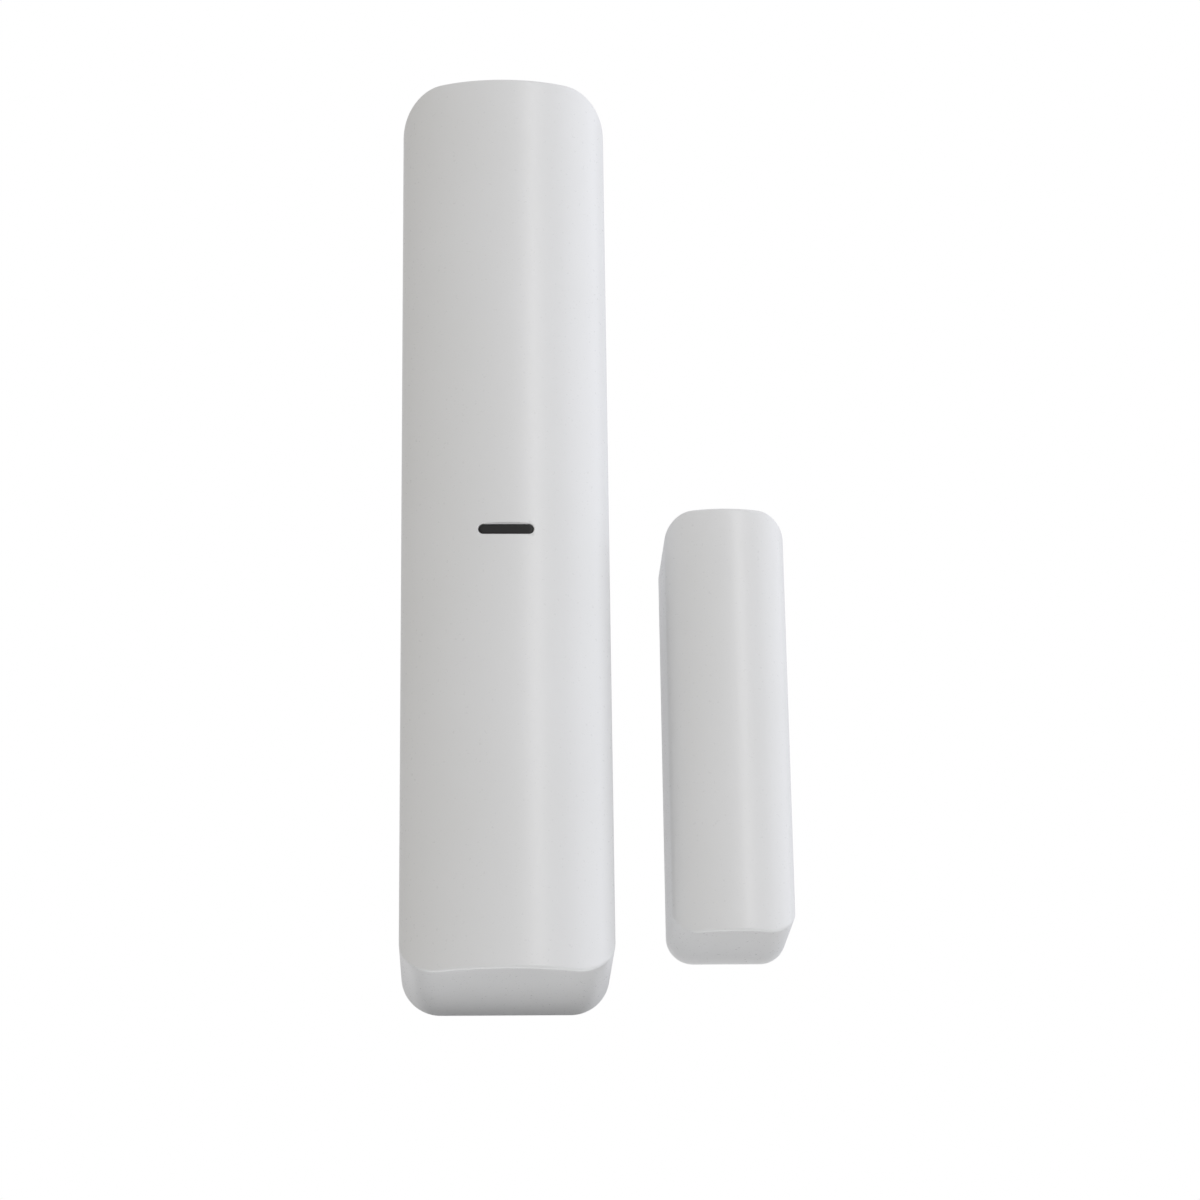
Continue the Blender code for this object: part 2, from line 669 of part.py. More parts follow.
def cut_battery_window(chassis):
    """The battery lies a little way into the floor, through a window."""
    floor_drop = BATTERY_DEPTH - FLOOR_FRONT
    half_chord = math.sqrt(BATTERY_RADIUS**2 - floor_drop**2)
    window = block(
        "battery_window",
        span(0, half_chord + 2 * SLIP),
        (FLOOR_BACK - BEYOND, FLOOR_FRONT + BEYOND),
        (BATTERY_Z - SLIP, BATTERY_TOP),
        corner=SLIP,
        steps=2,
    )
    cut(chassis, window)


def cut_contact_notches(chassis):
    """Openings in the bulkhead for the lead and for the positive contact's tab."""
    through = (BULKHEAD_Z - BEYOND, BULKHEAD_Z + BULKHEAD_THICKNESS + BEYOND)
    lead_notch = block(
        "lead_notch",
        (-WELL_HALF_WIDTH, -WELL_HALF_WIDTH + 4 * LEAD_WIRE),
        span(LEAD_DEPTH, 2 * LEAD_WIRE),
        through,
    )
    cut(chassis, lead_notch)
    tab_notch = block(
        "tab_notch",
        (TAB_CONTACT_X[0] - SLIP, TAB_CONTACT_X[1] + SLIP),
        (ON_BOARD - SLIP, ON_BOARD + CONTACT_THICKNESS + SLIP),
        through,
    )
    cut(chassis, tab_notch)


def make_wall_plate(chassis):
    """The plate that is screwed or stuck to the door frame, with its hooks and tamper tab."""
    plate = block(
        "mounting_bracket",
        span(0, CHASSIS_HALF_WIDTH),
        (PLATE_BACK, PLATE_FRONT),
        (-CHASSIS_HALF_LENGTH + DETECTOR_TRAVEL + SLIP, CHASSIS_HALF_LENGTH),
        WHITE_ABS,
        corner=CHASSIS_CORNER,
    )
    for number, z in enumerate(HOOKS_Z):
        for side in (-1, 1):
            name = f"hook_{number}_{side}"
            wall_hook(plate, chassis, name, side * HOOK_X, z, HOOK_WIDTH, DETECTOR_TRAVEL)
    for number, z in enumerate(PLATE_HOLES_Z):
        screw_hole(plate, f"plate_hole_{number}", z, PLATE_HOLE, PLATE_HOLE_SINK)
    through = (PLATE_BACK - BEYOND, PLATE_FRONT + BEYOND)
    cut(plate, peg("tab_hole", TAB_HOLE, 0, through, TAMPER_Z - TAB_HOLE_DROP))
    cut(plate, peg("plate_cable_hole", CABLE_HOLE, 0, through, CABLE_Z))
    for side in (-1, 1):
        long_cut = block(
            f"tab_side_{side}",
            span(side * TAB_HALF_WIDTH, TAB_CUT / 2),
            through,
            (TAB_Z[0] + TAB_BRIDGE, TAB_Z[1] - TAB_BRIDGE),
        )
        cut(plate, long_cut)
    for number, z in enumerate(TAB_Z):
        tab_end = span(0, TAB_HALF_WIDTH - TAB_BRIDGE)
        cut(plate, block(f"tab_end_{number}", tab_end, through, span(z, TAB_CUT / 2)))
    cut(plate, make_ramp())
    return plate


def make_ramp():
    """The sunk ramp that lets the plunger come out as the detector slides up."""
    ramp_foot = TAMPER_Z - TAMPER_STEM - SLIP
    ramp_top = ramp_foot + DETECTOR_TRAVEL
    flat = block(
        "ramp_flat",
        span(0, RAMP_HALF_WIDTH),
        (PLATE_FRONT - TAMPER_TRAVEL, PLATE_FRONT + BEYOND),
        (ramp_top, ramp_top + 2 * (TAMPER_STEM + SLIP)),
    )
    slope = math.atan(TAMPER_TRAVEL / DETECTOR_TRAVEL)
    length = DETECTOR_TRAVEL / math.cos(slope) + BEYOND
    shape = bmesh.new()
    size = Matrix.Diagonal((2 * RAMP_HALF_WIDTH, BEYOND, length, 1))
    lift = Matrix.Translation((0, -BEYOND / 2, length / 2 - BEYOND))
    turn = Matrix.Rotation(-slope, 4, "X")
    bmesh.ops.create_cube(shape, size=1.0, matrix=turn @ lift @ size)
    foot = at(0, PLATE_FRONT, ramp_foot)
    join(flat, place("ramp_slope", mesh_from("ramp_slope", shape), GREY_ABS, foot))
    return flat


def make_pads():
    """Foam tape on the back of the wall plate, clear of its holes and its tamper tab."""
    foot_hole_top = PLATE_HOLES_Z[1] + PLATE_HOLE_SINK + LOWER_PAD_HOLE_GAP
    top_hole_top = PLATE_HOLES_Z[0] + PLATE_HOLE_SINK + PAD_HOLE_GAP
    limits = {
        "lower": (foot_hole_top, TAB_Z[0] - TAB_CUT / 2 - PAD_TAB_GAP),
        "upper": (top_hole_top, CABLE_Z - CABLE_HOLE - PAD_CABLE_GAP),
    }
    pads = []
    for label, z in limits.items():
        name = f"adhesive_pad_{label}"
        depth = (0, PAD_THICKNESS - TOUCH)
        half = PAD_WIDTH / 2
        pads.append(block(name, span(0, half), depth, z, FOAM_TAPE, PAD_CORNER, steps=3))
    return pads


def make_cover():
    """The white front shell, with the indicator slot and the collar behind it."""
    cover = bowed_shell(
        "front_cover", BODY_WIDTH, BODY_LENGTH, BODY_FRONT, BODY_BOW, BODY_CORNER
    )
    flange_x, flange_z = FLANGE_HALF
    collar = block(
        "guide_collar",
        span(0, flange_x + SLIP + COLLAR_WALL),
        (COLLAR_DEPTH, INNER_FRONT + OVERLAP),
        span(INDICATOR_Z, flange_z + SLIP + COLLAR_WALL),
    )
    join(cover, collar)
    recess = block(
        "collar_recess",
        span(0, flange_x + SLIP),
        (COLLAR_DEPTH - BEYOND, FLANGE_DEPTH[1] + SLIP / 2),
        span(INDICATOR_Z, flange_z + SLIP),
    )
    cut(cover, recess)
    for number, z in enumerate(RIBS_Z):
        rib = block(
            f"cover_rib_{number}",
            span(0, RIB_HALF_WIDTH),
            (INNER_FRONT - RIB_HEIGHT, INNER_FRONT + OVERLAP / 2),
            span(z, RIB_THICKNESS / 2),
        )
        join(cover, rib)
    slot = block(
        "indicator_slot",
        span(0, SLOT_WIDTH / 2),
        (COLLAR_DEPTH, BODY_FRONT + BEYOND),
        span(INDICATOR_Z, SLOT_HEIGHT / 2),
        corner=SLOT_HEIGHT / 2 - TOUCH / 2,
        steps=5,
    )
    cut(cover, slot)
    for number, z in enumerate(SNAP_Z):
        for side in (-1, 1):
            inner = side * (INNER_HALF_WIDTH - OVERLAP)
            deep = side * (INNER_HALF_WIDTH + SNAP_POCKET)
            pocket = block(
                f"snap_pocket_{number}_{side}",
                (min(inner, deep), max(inner, deep)),
                (WALL_TOP - SNAP_HEIGHT - 2 * OVERLAP, WALL_TOP),
                span(z, SNAP_LENGTH / 2 + SLIP),
            )
            cut(cover, pocket)
    return cover


def make_light_guide():
    """The smoked guide that fills the slot and carries the lamp's light to it."""
    guide = block(
        "light_guide",
        span(0, SLOT_WIDTH / 2 - SLOT_GAP),
        (FLANGE_DEPTH[0], BODY_FRONT - WINDOW_SINK),
        span(INDICATOR_Z, SLOT_HEIGHT / 2 - SLOT_GAP),
        SMOKED_LENS,
        corner=SLOT_HEIGHT / 2 - SLOT_GAP - TOUCH / 2,
        steps=5,
    )
    flange_z = span(INDICATOR_Z, FLANGE_HALF[1])
    join(guide, block("guide_flange", span(0, FLANGE_HALF[0]), FLANGE_DEPTH, flange_z))
    stem_depth = (LED_TOP + SLIP, FLANGE_DEPTH[0] + OVERLAP)
    stem_z = span(INDICATOR_Z, STEM_HALF[1])
    join(guide, block("guide_stem", span(0, STEM_HALF[0]), stem_depth, stem_z))
    return guide


def make_board():
    """The circuit board, held on the chassis by a screw near each end."""
    board = block(
        "circuit_board",
        span(0, BOARD_HALF_WIDTH),
        (BOARD_DEPTH, BOARD_FRONT),
        (BOARD_FOOT, BOARD_TOP),
        BOARD_GREEN,
        corner=BOARD_CORNER,
        steps=3,
    )
    pieces = [board]
    for label, (x, z) in BOARD_SCREWS.items():
        hole_depth = (BOARD_DEPTH - BEYOND, BOARD_FRONT + BEYOND)
        cut(board, peg(f"board_hole_{label}", BOSS_HOLE + OVERLAP, x, hole_depth, z))
        pieces.append(make_board_screw(label, x, z))
    return pieces


def make_board_screw(label, x, z):
    profile = [
        (0, SCREW_HEAD_HEIGHT),
        (SCREW_CROWN, SCREW_HEAD_HEIGHT),
        (SCREW_HEAD, SCREW_RIM_HEIGHT),
        (SCREW_HEAD, 0),
        (SCREW_SHANK, 0),
        (SCREW_SHANK, -SCREW_LENGTH + SCREW_SHANK),
        (0, -SCREW_LENGTH),
    ]
    name = f"board_screw_{label}"
    screw = turned(name, profile, at(x, ON_BOARD, z), NICKEL, out_of_wall=True, steps=16)
    for turn, sides in enumerate(((SCREW_HEAD, SCREW_SLOT), (SCREW_SLOT, SCREW_HEAD))):
        drive = block(
            f"screw_drive_{label}_{turn}",
            span(x, sides[0] / 2),
            (ON_BOARD + SCREW_RIM_HEIGHT, ON_BOARD + SCREW_HEAD_HEIGHT + BEYOND),
            span(z, sides[1] / 2),
        )
        cut(screw, drive)
    return screw


def make_chips():
    """The lamp, the controller, the radio under its shield, and the small parts round them."""
    low = (ON_BOARD, LED_TOP)
    lamp_z = span(INDICATOR_Z, LED_HALF[1])
    pieces = [block("indicator_led", span(0, LED_HALF[0]), low, lamp_z, LED_WHITE)]
    controller_z = [BOARD_FOOT + rise for rise in CONTROLLER_RISE]
    pieces.append(block("microcontroller", CONTROLLER_X, low, controller_z, BLACK_EPOXY))
    shield_z = [BOARD_FOOT + rise for rise in SHIELD_RISE]
    shield_depth = (ON_BOARD, ON_BOARD + SHIELD_HEIGHT)
    shield = block("radio_shield", SHIELD_X, shield_depth, shield_z, NICKEL)
    hollow = block(
        "shield_hollow",
        (SHIELD_X[0] + SHIELD_WALL, SHIELD_X[1] - SHIELD_WALL),
        (ON_BOARD - BEYOND, ON_BOARD + SHIELD_HEIGHT - SHIELD_WALL),
        (shield_z[0] + SHIELD_WALL, shield_z[1] - SHIELD_WALL),
    )
    cut(shield, hollow)
    pieces.append(shield)
    crystal = block(
        "crystal_can",
        span(-BOARD_HALF_WIDTH + CRYSTAL_INSET, CRYSTAL_HALF[0]),
        low,
        span(BOARD_FOOT + CRYSTAL_RISE, CRYSTAL_HALF[1]),
        NICKEL,
        corner=CRYSTAL_CORNER,
        steps=3,
    )
    pieces.append(crystal)
    ceramic_x = span(-BOARD_HALF_WIDTH + CERAMIC_INSET, CERAMIC_HALF[0])
    for number in range(CERAMIC_COUNT):
        z = span(BOARD_FOOT + CERAMIC_RISE + number * CERAMIC_PITCH, CERAMIC_HALF[1])
        pieces.append(block(f"ceramic_capacitor_{number + 1}", ceramic_x, low, z, CERAMIC))
    pieces.append(make_storage_capacitor())
    return pieces


def make_storage_capacitor():
    """An electrolytic can, with the rolled groove near its foot."""
    neck = CAPACITOR_RADIUS - SLIP
    profile = [
        (0, CAPACITOR_HEIGHT),
        (neck, CAPACITOR_HEIGHT),
        (CAPACITOR_RADIUS, CAPACITOR_HEIGHT - SLIP),
        (CAPACITOR_RADIUS, CAPACITOR_GROOVE + SLIP),
        (neck, CAPACITOR_GROOVE),
        (CAPACITOR_RADIUS, CAPACITOR_GROOVE - SLIP),
        (CAPACITOR_RADIUS, 0),
        (0, 0),
    ]
    seat = at(-BOARD_HALF_WIDTH + CAPACITOR_INSET, ON_BOARD, BOARD_FOOT + CAPACITOR_RISE)
    return turned("storage_capacitor", profile, seat, NICKEL, out_of_wall=True, steps=20)


def make_reed(label, z):
    """A glass reed switch: two springy leads that lap inside a glass tube, soldered to the board."""
    depth = ON_BOARD + SLIP + REED_RADIUS
    half = REED_LENGTH / 2
    centre = at(REED_X, depth, z)
    glass = f"reed_glass_{label}"
    pieces = [ring(glass, REED_BORE, REED_RADIUS, (-half, half), centre, REED_GLASS, steps=16)]
    foot = half + REED_OUTREACH
    for end, sign in (("top", 1), ("bottom", -1)):
        lean = sign * REED_OFFSET
        points = [
            at(REED_X, depth + lean, z - sign * REED_LAP),
            at(REED_X, depth + lean, z + sign * REED_LAP * 2),
            at(REED_X, depth, z + sign * REED_LAP * 4),
            at(REED_X, depth, z + sign * (foot - 2 * REED_WIRE)),
            at(REED_X, depth - REED_WIRE, z + sign * foot),
            at(REED_X, ON_BOARD, z + sign * foot),
        ]
        pieces.append(wire(f"reed_lead_{label}_{end}", points, REED_WIRE, NICKEL))
    return pieces


def make_antenna():
    """The coiled antenna, which lies along the board and is soldered at its foot."""
    x = -BOARD_HALF_WIDTH + ANTENNA_INSET
    foot, top = (BOARD_TOP - drop for drop in ANTENNA_DROPS)
    resting = ON_BOARD + SLIP + ANTENNA_WIRE
    centre = at(x, resting + ANTENNA_RADIUS, foot)
    radii = (ANTENNA_RADIUS, ANTENNA_RADIUS)
    up, back = Vector((0, 0, 1)), Vector((0, 1, 0))
    coil = coil_points(centre, up, back, radii, top - foot, ANTENNA_TURNS)
    tail = at(x, ON_BOARD + ANTENNA_WIRE, foot - 2 * ANTENNA_RADIUS)
    bend = at(x, resting, foot - ANTENNA_WIRE * 2)
    return wire("antenna_coil", [tail, bend, *coil], ANTENNA_WIRE, COPPER)


def make_terminal():
    """The two-way terminal for a wired contact, with its clamp screws."""
    top = ON_BOARD + TERMINAL_HEIGHT
    right = BOARD_HALF_WIDTH - BOARD_EDGE_GAP
    terminal_x = (right - TERMINAL_WIDTH, right)
    terminal_z = [BOARD_TOP - drop for drop in TERMINAL_DROPS]
    terminal = block(
        "terminal_block", terminal_x, (ON_BOARD, top), terminal_z, TERMINAL_GREEN
    )
    pieces = [terminal]
    well_floor = top - TERMINAL_WELL_SINK
    screw_z = (sum(terminal_z) - TERMINAL_WELL) / 2
    screw_depth = (well_floor + TOUCH, top - TERMINAL_SCREW_SINK)
    for label, side in (("left", -1), ("right", 1)):
        x = (sum(terminal_x) + side * TERMINAL_WIDTH / 2) / 2
        well_depth = (well_floor, top + BEYOND)
        cut(terminal, peg(f"well_{label}", TERMINAL_WELL, x, well_depth, screw_z))
        entry = block(
            f"entry_{label}",
            span(x, TERMINAL_ENTRY),
            span(ON_BOARD + TERMINAL_ENTRY_HEIGHT, TERMINAL_ENTRY),
            (terminal_z[1] - TERMINAL_ENTRY_LENGTH, terminal_z[1] + BEYOND),
        )
        cut(terminal, entry)
        radius = TERMINAL_WELL - OVERLAP
        screw = peg(f"terminal_screw_{label}", radius, x, screw_depth, screw_z, NICKEL)
        drive = block(
            f"terminal_drive_{label}",
            span(x, TERMINAL_WELL),
            (screw_depth[1] - SCREW_SLOT, screw_depth[1] + BEYOND),
            span(screw_z, SCREW_SLOT / 2),
        )
        cut(screw, drive)
        pieces.append(screw)
    return pieces


def make_switch(name, z):
    """A push switch soldered to the back of the board."""
    half = SWITCH_SIDE / 2
    depth = (SWITCH_BACK, SWITCH_BACK + SWITCH_HEIGHT)
    switch = block(name, span(0, half), depth, span(z, half), BLACK_EPOXY)
    join(switch, peg(name + "_nub", SWITCH_NUB, 0, (NUB_BACK, SWITCH_BACK + OVERLAP), z, steps=12))
    return switch


def make_plunger(name, z, depths, radii, edge, material):
    """A turned plunger: nose, flange and stem, at depths that run from the board to the wall."""
    nose, flange_front, flange_back, tip = depths
    nose_radius, flange_radius, stem_radius = radii
    profile = [
        (0, nose),
        (nose_radius, nose),
        (nose_radius, flange_front),
        (flange_radius, flange_front),
        (flange_radius, flange_back),
        (stem_radius, flange_back),
        (stem_radius, tip + edge),
        (stem_radius - edge, tip),
        (0, tip),
    ]
    return turned(name, profile, at(0, 0, z), material, out_of_wall=True, steps=20)


def make_tamper():
    """The tamper plunger, held in by the wall plate, and its spring."""
    flange_back = FLOOR_FRONT + TOUCH + TAMPER_TRAVEL
    flange_front = flange_back + FLANGE_THICKNESS
    depths = (NUB_BACK - TAMPER_NOSE_GAP, flange_front, flange_back, PLATE_FRONT + TAMPER_GAP)
    radii = (TAMPER_NOSE, TAMPER_FLANGE, TAMPER_STEM)
    plunger = make_plunger("tamper_plunger", TAMPER_Z, depths, radii, TAMPER_EDGE, WHITE_ABS)
    start = flange_front + 2 * TAMPER_SPRING_WIRE
    end = SWITCH_BACK - 2 * TAMPER_SPRING_WIRE
    centre = at(0, start, TAMPER_Z)
    out, across = Vector((0, -1, 0)), Vector((1, 0, 0))
    spring_radii = (TAMPER_SPRING, TAMPER_SPRING)
    points = coil_points(centre, out, across, spring_radii, end - start, TAMPER_SPRING_TURNS)
    spring = wire("tamper_spring", points, TAMPER_SPRING_WIRE, NICKEL, resolution=1)
    return plunger, spring


def make_power_button():
    """The on and off button, sunk in the chassis floor."""
    flange_back = FLOOR_FRONT + TOUCH
    flange_front = flange_back + FLANGE_THICKNESS
    nose = NUB_BACK - BUTTON_TRAVEL - TOUCH
    depths = (nose, flange_front, flange_back, FLOOR_BACK + BUTTON_SINK)
    radii = (BUTTON_NOSE, BUTTON_FLANGE, BUTTON_RADIUS)
    return make_plunger("power_button", BUTTON_Z, depths, radii, BUTTON_EDGE, GREY_SILICONE)


def make_battery():
    """The round lithium cell: steel can, filling, gasket, cap and printed sleeve."""
    centre = at(0, BATTERY_DEPTH, 0)
    can = BATTERY_RADIUS - SLEEVE_WALL - CELL_GAP
    bore = can - CAN_WALL
    foot = BATTERY_Z + CAN_WALL
    cap_foot = CAN_TOP - CAP_THICKNESS - CELL_GAP
    shoulder = cap_foot + CAP_THICKNESS
    cup = [
        (0, foot),
        (bore, foot),
        (bore, CAN_TOP),
        (can, CAN_TOP),
        (can, BATTERY_Z),
        (0, BATTERY_Z),
    ]
    core = [
        (0, cap_foot - SLIP),
        (bore - CELL_GAP, cap_foot - SLIP),
        (bore - CELL_GAP, foot + SLIP),
        (0, foot + SLIP),
    ]
    cap = [
        (0, BATTERY_TOP),
        (NUB_RADIUS - SLIP, BATTERY_TOP),
        (NUB_RADIUS, BATTERY_TOP - SLIP),
        (NUB_RADIUS, shoulder),
        (CAP_RADIUS, shoulder),
        (CAP_RADIUS, cap_foot),
        (0, cap_foot),
    ]
    gasket_radii = (CAP_RADIUS + CELL_GAP, bore - CELL_GAP)
    sleeve_radii = (BATTERY_RADIUS - SLEEVE_WALL, BATTERY_RADIUS)
    sleeve_z = (BATTERY_Z + OVERLAP, CAN_TOP + OVERLAP)
    return [
        turned("battery_can", cup, centre, NICKEL),
        turned("battery_core", core, centre, BATTERY_PASTE),
        turned("battery_cap", cap, centre, NICKEL),
        ring("battery_gasket", *gasket_radii, (cap_foot, CAN_TOP), centre, BLACK_PVC),
        ring("battery_sleeve", *sleeve_radii, sleeve_z, centre, BATTERY_WRAP),
    ]


def make_contacts():
    """The contacts at the two ends of the battery, and the lead from the far one to the board."""
    positive_z = (POSITIVE_PLATE_Z, POSITIVE_PLATE_Z + CONTACT_THICKNESS)
    positive = block(
        "battery_contact_positive",
        span(0, CONTACT_HALF_WIDTH),
        span(BATTERY_DEPTH, CONTACT_HALF_WIDTH),
        positive_z,
        NICKEL,
    )
    arm = block(
        "positive_arm",
        (CONTACT_HALF_WIDTH - OVERLAP, TAB_CONTACT_X[1]),
        (ON_BOARD, ON_BOARD + CONTACT_ARM_WIDTH),
        positive_z,
    )
    tab = block(
        "positive_tab",
        TAB_CONTACT_X,
        (ON_BOARD, ON_BOARD + CONTACT_THICKNESS),
        (POSITIVE_PLATE_Z + CONTACT_THICKNESS / 2, BOARD_FOOT + CONTACT_TAB_REACH),
    )
    join(positive, arm)
    join(positive, tab)
    negative_z = (NEGATIVE_PLATE_Z, NEGATIVE_PLATE_Z + CONTACT_THICKNESS)
    half = SPRING_RADII[0] + SPRING_WIRE
    negative = block(
        "battery_contact_negative",
        span(0, half),
        (BATTERY_DEPTH - half, END_STOP_DEPTH),
        negative_z,
        NICKEL,
    )
    ear = block(
        "negative_ear",
        (-WELL_HALF_WIDTH + SLIP, 0),
        (LEAD_DEPTH - LEAD_WIRE, BATTERY_DEPTH),
        negative_z,
    )
    join(negative, ear)
    up, across = Vector((0, 0, 1)), Vector((1, 0, 0))
    seat = at(0, BATTERY_DEPTH, SPRING_Z + SPRING_WIRE)
    rise = SPRING_HEIGHT - 2 * SPRING_WIRE
    points = coil_points(seat, up, across, SPRING_RADII, rise, SPRING_TURNS)
    spring = wire("battery_spring", points, SPRING_WIRE, NICKEL)
    return [positive, negative, spring, make_battery_lead(negative_z[1] + TOUCH)]


def make_battery_lead(start):
    """The insulated lead from the foot of the battery bay to the back of the board."""
    x = -WELL_HALF_WIDTH + LEAD_SIDE_GAP + LEAD_WIRE
    end = BOARD_FOOT + 4 * LEAD_WIRE
    points = [
        at(x, LEAD_DEPTH, start),
        at(x, LEAD_DEPTH, BULKHEAD_Z),
        at(x, LEAD_DEPTH, end - 2 * LEAD_WIRE),
        at(x, LEAD_DEPTH + LEAD_WIRE, end),
        at(x + LEAD_WIRE, BOARD_DEPTH - TOUCH, end),
    ]
    return wire("battery_lead", points, LEAD_WIRE, BLACK_PVC)


def make_magnet_bracket(carrier):
    """The magnet unit's wall plate, with two hooks in line and two countersunk holes."""
    plate = block(
        "magnet_bracket",
        span(0, MAGNET_HALF_WIDTH),
        (PLATE_BACK, PLATE_FRONT),
        (MAGNET_PLATE_FOOT, MAGNET_HALF_LENGTH),
        WHITE_ABS,
        corner=MAGNET_PLATE_CORNER,
        steps=4,
    )
    for number, z in enumerate(MAGNET_HOOKS_Z):
        name = f"magnet_hook_{number}"
        wall_hook(plate, carrier, name, 0, z, MAGNET_HOOK_WIDTH, HOUSING_TRAVEL)
        room = block(
            name + "_room",
            span(0, MAGNET_HOOK_WIDTH / 2 + SLIP),
            (FLOOR_FRONT, BAR_BACK),
            (z - HOOK_NECK - HOUSING_TRAVEL - 2 * SLIP, z + HOOK_REACH + SLIP),
        )
        cut(carrier, room)
    for number, z in enumerate(MAGNET_HOLES_Z):
        name = f"magnet_plate_hole_{number}"
        screw_hole(plate, name, z, MAGNET_PLATE_HOLE, MAGNET_PLATE_HOLE_SINK)
    edge = MAGNET_PLATE_HOLE + MAGNET_PAD_GAP
    pad = block(
        "magnet_adhesive_pad",
        span(0, MAGNET_PAD_WIDTH / 2),
        (0, PAD_THICKNESS - TOUCH),
        (MAGNET_HOLES_Z[1] + edge, MAGNET_HOLES_Z[0] - edge),
        FOAM_TAPE,
        corner=PAD_CORNER,
        steps=3,
    )
    return plate, pad


def make_magnet_carrier():
    """The carrier behind the magnet cover, with a nest for the bar."""
    carrier = block(
        "magnet_carrier",
        span(0, MAGNET_HALF_WIDTH),
        (FLOOR_BACK, FLOOR_BACK + CARRIER_HEIGHT),
        span(0, MAGNET_HALF_LENGTH),
        GREY_ABS,
        corner=MAGNET_PLATE_CORNER,
        steps=4,
    )
    nest = block(
        "magnet_nest",
        span(0, BAR_WIDTH / 2 + BAR_GAP),
        (BAR_BACK - BAR_GAP, FLOOR_BACK + CARRIER_HEIGHT + BEYOND),
        span(0, BAR_LENGTH / 2 + BAR_GAP),
    )
    cut(carrier, nest)
    return carrier


def make_bar_magnet():
    bar = block(
        "bar_magnet",
        span(0, BAR_WIDTH / 2),
        (BAR_BACK, BAR_BACK + BAR_THICKNESS),
        span(0, BAR_LENGTH / 2),
        MAGNET_NICKEL,
    )
    edges = bar.modifiers.new("ground_edges", "BEVEL")
    edges.width = BAR_EDGE
    edges.segments = 2
    return bar


tray = make_chassis()
bracket = make_wall_plate(tray)
tamper_plunger, tamper_spring = make_tamper()
tamper_switch = make_switch("tamper_switch", TAMPER_Z)
power_switch = make_switch("power_switch", BUTTON_Z)
detector_pieces = [tray, tamper_switch, tamper_spring, power_switch, make_antenna()]
detector_pieces += make_board() + make_chips() + make_terminal()
detector_pieces += make_battery() + make_contacts()
for reed_label, reed_rise in REED_HEIGHTS.items():
    detector_pieces += make_reed(reed_label, BOARD_FOOT + reed_rise)

make_group("wall_side", [bracket, *make_pads()])
make_group("detector", detector_pieces)
make_group("cover", [make_cover(), make_light_guide()])
make_group("tamper", [tamper_plunger])
make_group("button", [make_power_button()])

magnet_carrier = make_magnet_carrier()
magnet_bracket, magnet_pad = make_magnet_bracket(magnet_carrier)
magnet_cover = bowed_shell(
    "magnet_cover",
    MAGNET_UNIT_WIDTH,
    MAGNET_UNIT_LENGTH,
    MAGNET_UNIT_FRONT,
    MAGNET_UNIT_BOW,
    MAGNET_UNIT_CORNER,
)
MAGNET_CENTRE = (MAGNET_X, 0, MAGNET_Z)
make_group("door_side", [magnet_bracket, magnet_pad], MAGNET_CENTRE)
make_group("magnet_holder", [magnet_carrier, make_bar_magnet()], MAGNET_CENTRE)
make_group("magnet_front", [magnet_cover], MAGNET_CENTRE)
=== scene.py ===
"""A finished wireless door contact: a tall detector for the frame and a short magnet for the door.

Each section makes one piece, in the order in which the real one is put together: the wall plate and its tape,
the chassis and what it carries, the cover, then the magnet unit. The fronts face -Y, +Z runs up the detector,
and both wall plates lie on the plane y = 0. A depth is a distance out of that wall, along -Y.
"""

import math

import bmesh
import bpy
from mathutils import Matrix, Vector


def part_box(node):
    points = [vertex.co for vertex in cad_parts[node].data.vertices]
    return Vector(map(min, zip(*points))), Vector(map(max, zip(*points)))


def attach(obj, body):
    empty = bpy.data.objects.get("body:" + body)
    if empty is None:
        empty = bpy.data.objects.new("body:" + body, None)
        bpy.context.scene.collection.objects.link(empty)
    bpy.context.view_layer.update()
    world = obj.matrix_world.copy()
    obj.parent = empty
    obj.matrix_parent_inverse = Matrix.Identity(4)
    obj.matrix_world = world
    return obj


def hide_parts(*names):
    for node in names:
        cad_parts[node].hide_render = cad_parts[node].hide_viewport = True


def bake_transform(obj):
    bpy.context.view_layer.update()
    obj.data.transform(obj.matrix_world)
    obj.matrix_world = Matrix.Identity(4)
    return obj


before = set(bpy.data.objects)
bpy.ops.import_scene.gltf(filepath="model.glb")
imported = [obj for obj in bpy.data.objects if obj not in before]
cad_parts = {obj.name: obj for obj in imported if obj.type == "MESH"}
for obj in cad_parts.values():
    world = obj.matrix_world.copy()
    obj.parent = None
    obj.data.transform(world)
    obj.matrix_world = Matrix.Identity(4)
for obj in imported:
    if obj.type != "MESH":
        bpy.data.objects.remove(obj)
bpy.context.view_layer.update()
MM = 0.001

# ----------
# Wall plate. One injection moulding in white ABS: a flat strip with six upward hooks, two countersunk screw
# holes, a cable hole and a tamper tab that breaks out. Its corners carry the radius of a milled mould.


def linear(code):
    """A colour written as sRGB hex, turned to the linear values that a shader takes."""
    shares = [int(code[i : i + 2], 16) / 255 for i in (1, 3, 5)]
    return (*[s / 12.92 if s <= 0.04045 else ((s + 0.055) / 1.055) ** 2.4 for s in shares], 1.0)


def add(tree, kind, inputs=None, give=0, **settings):
    """Adds a node and gives back one output. An input that is a socket is linked, and any other is set."""
    made = tree.nodes.new(kind)
    for name, value in settings.items():
        setattr(made, name, value)
    for name, value in (inputs or {}).items():
        if isinstance(value, bpy.types.NodeSocket):
            tree.links.new(value, made.inputs[name])
        else:
            made.inputs[name].default_value = value
    return made.outputs[give] if made.outputs else None


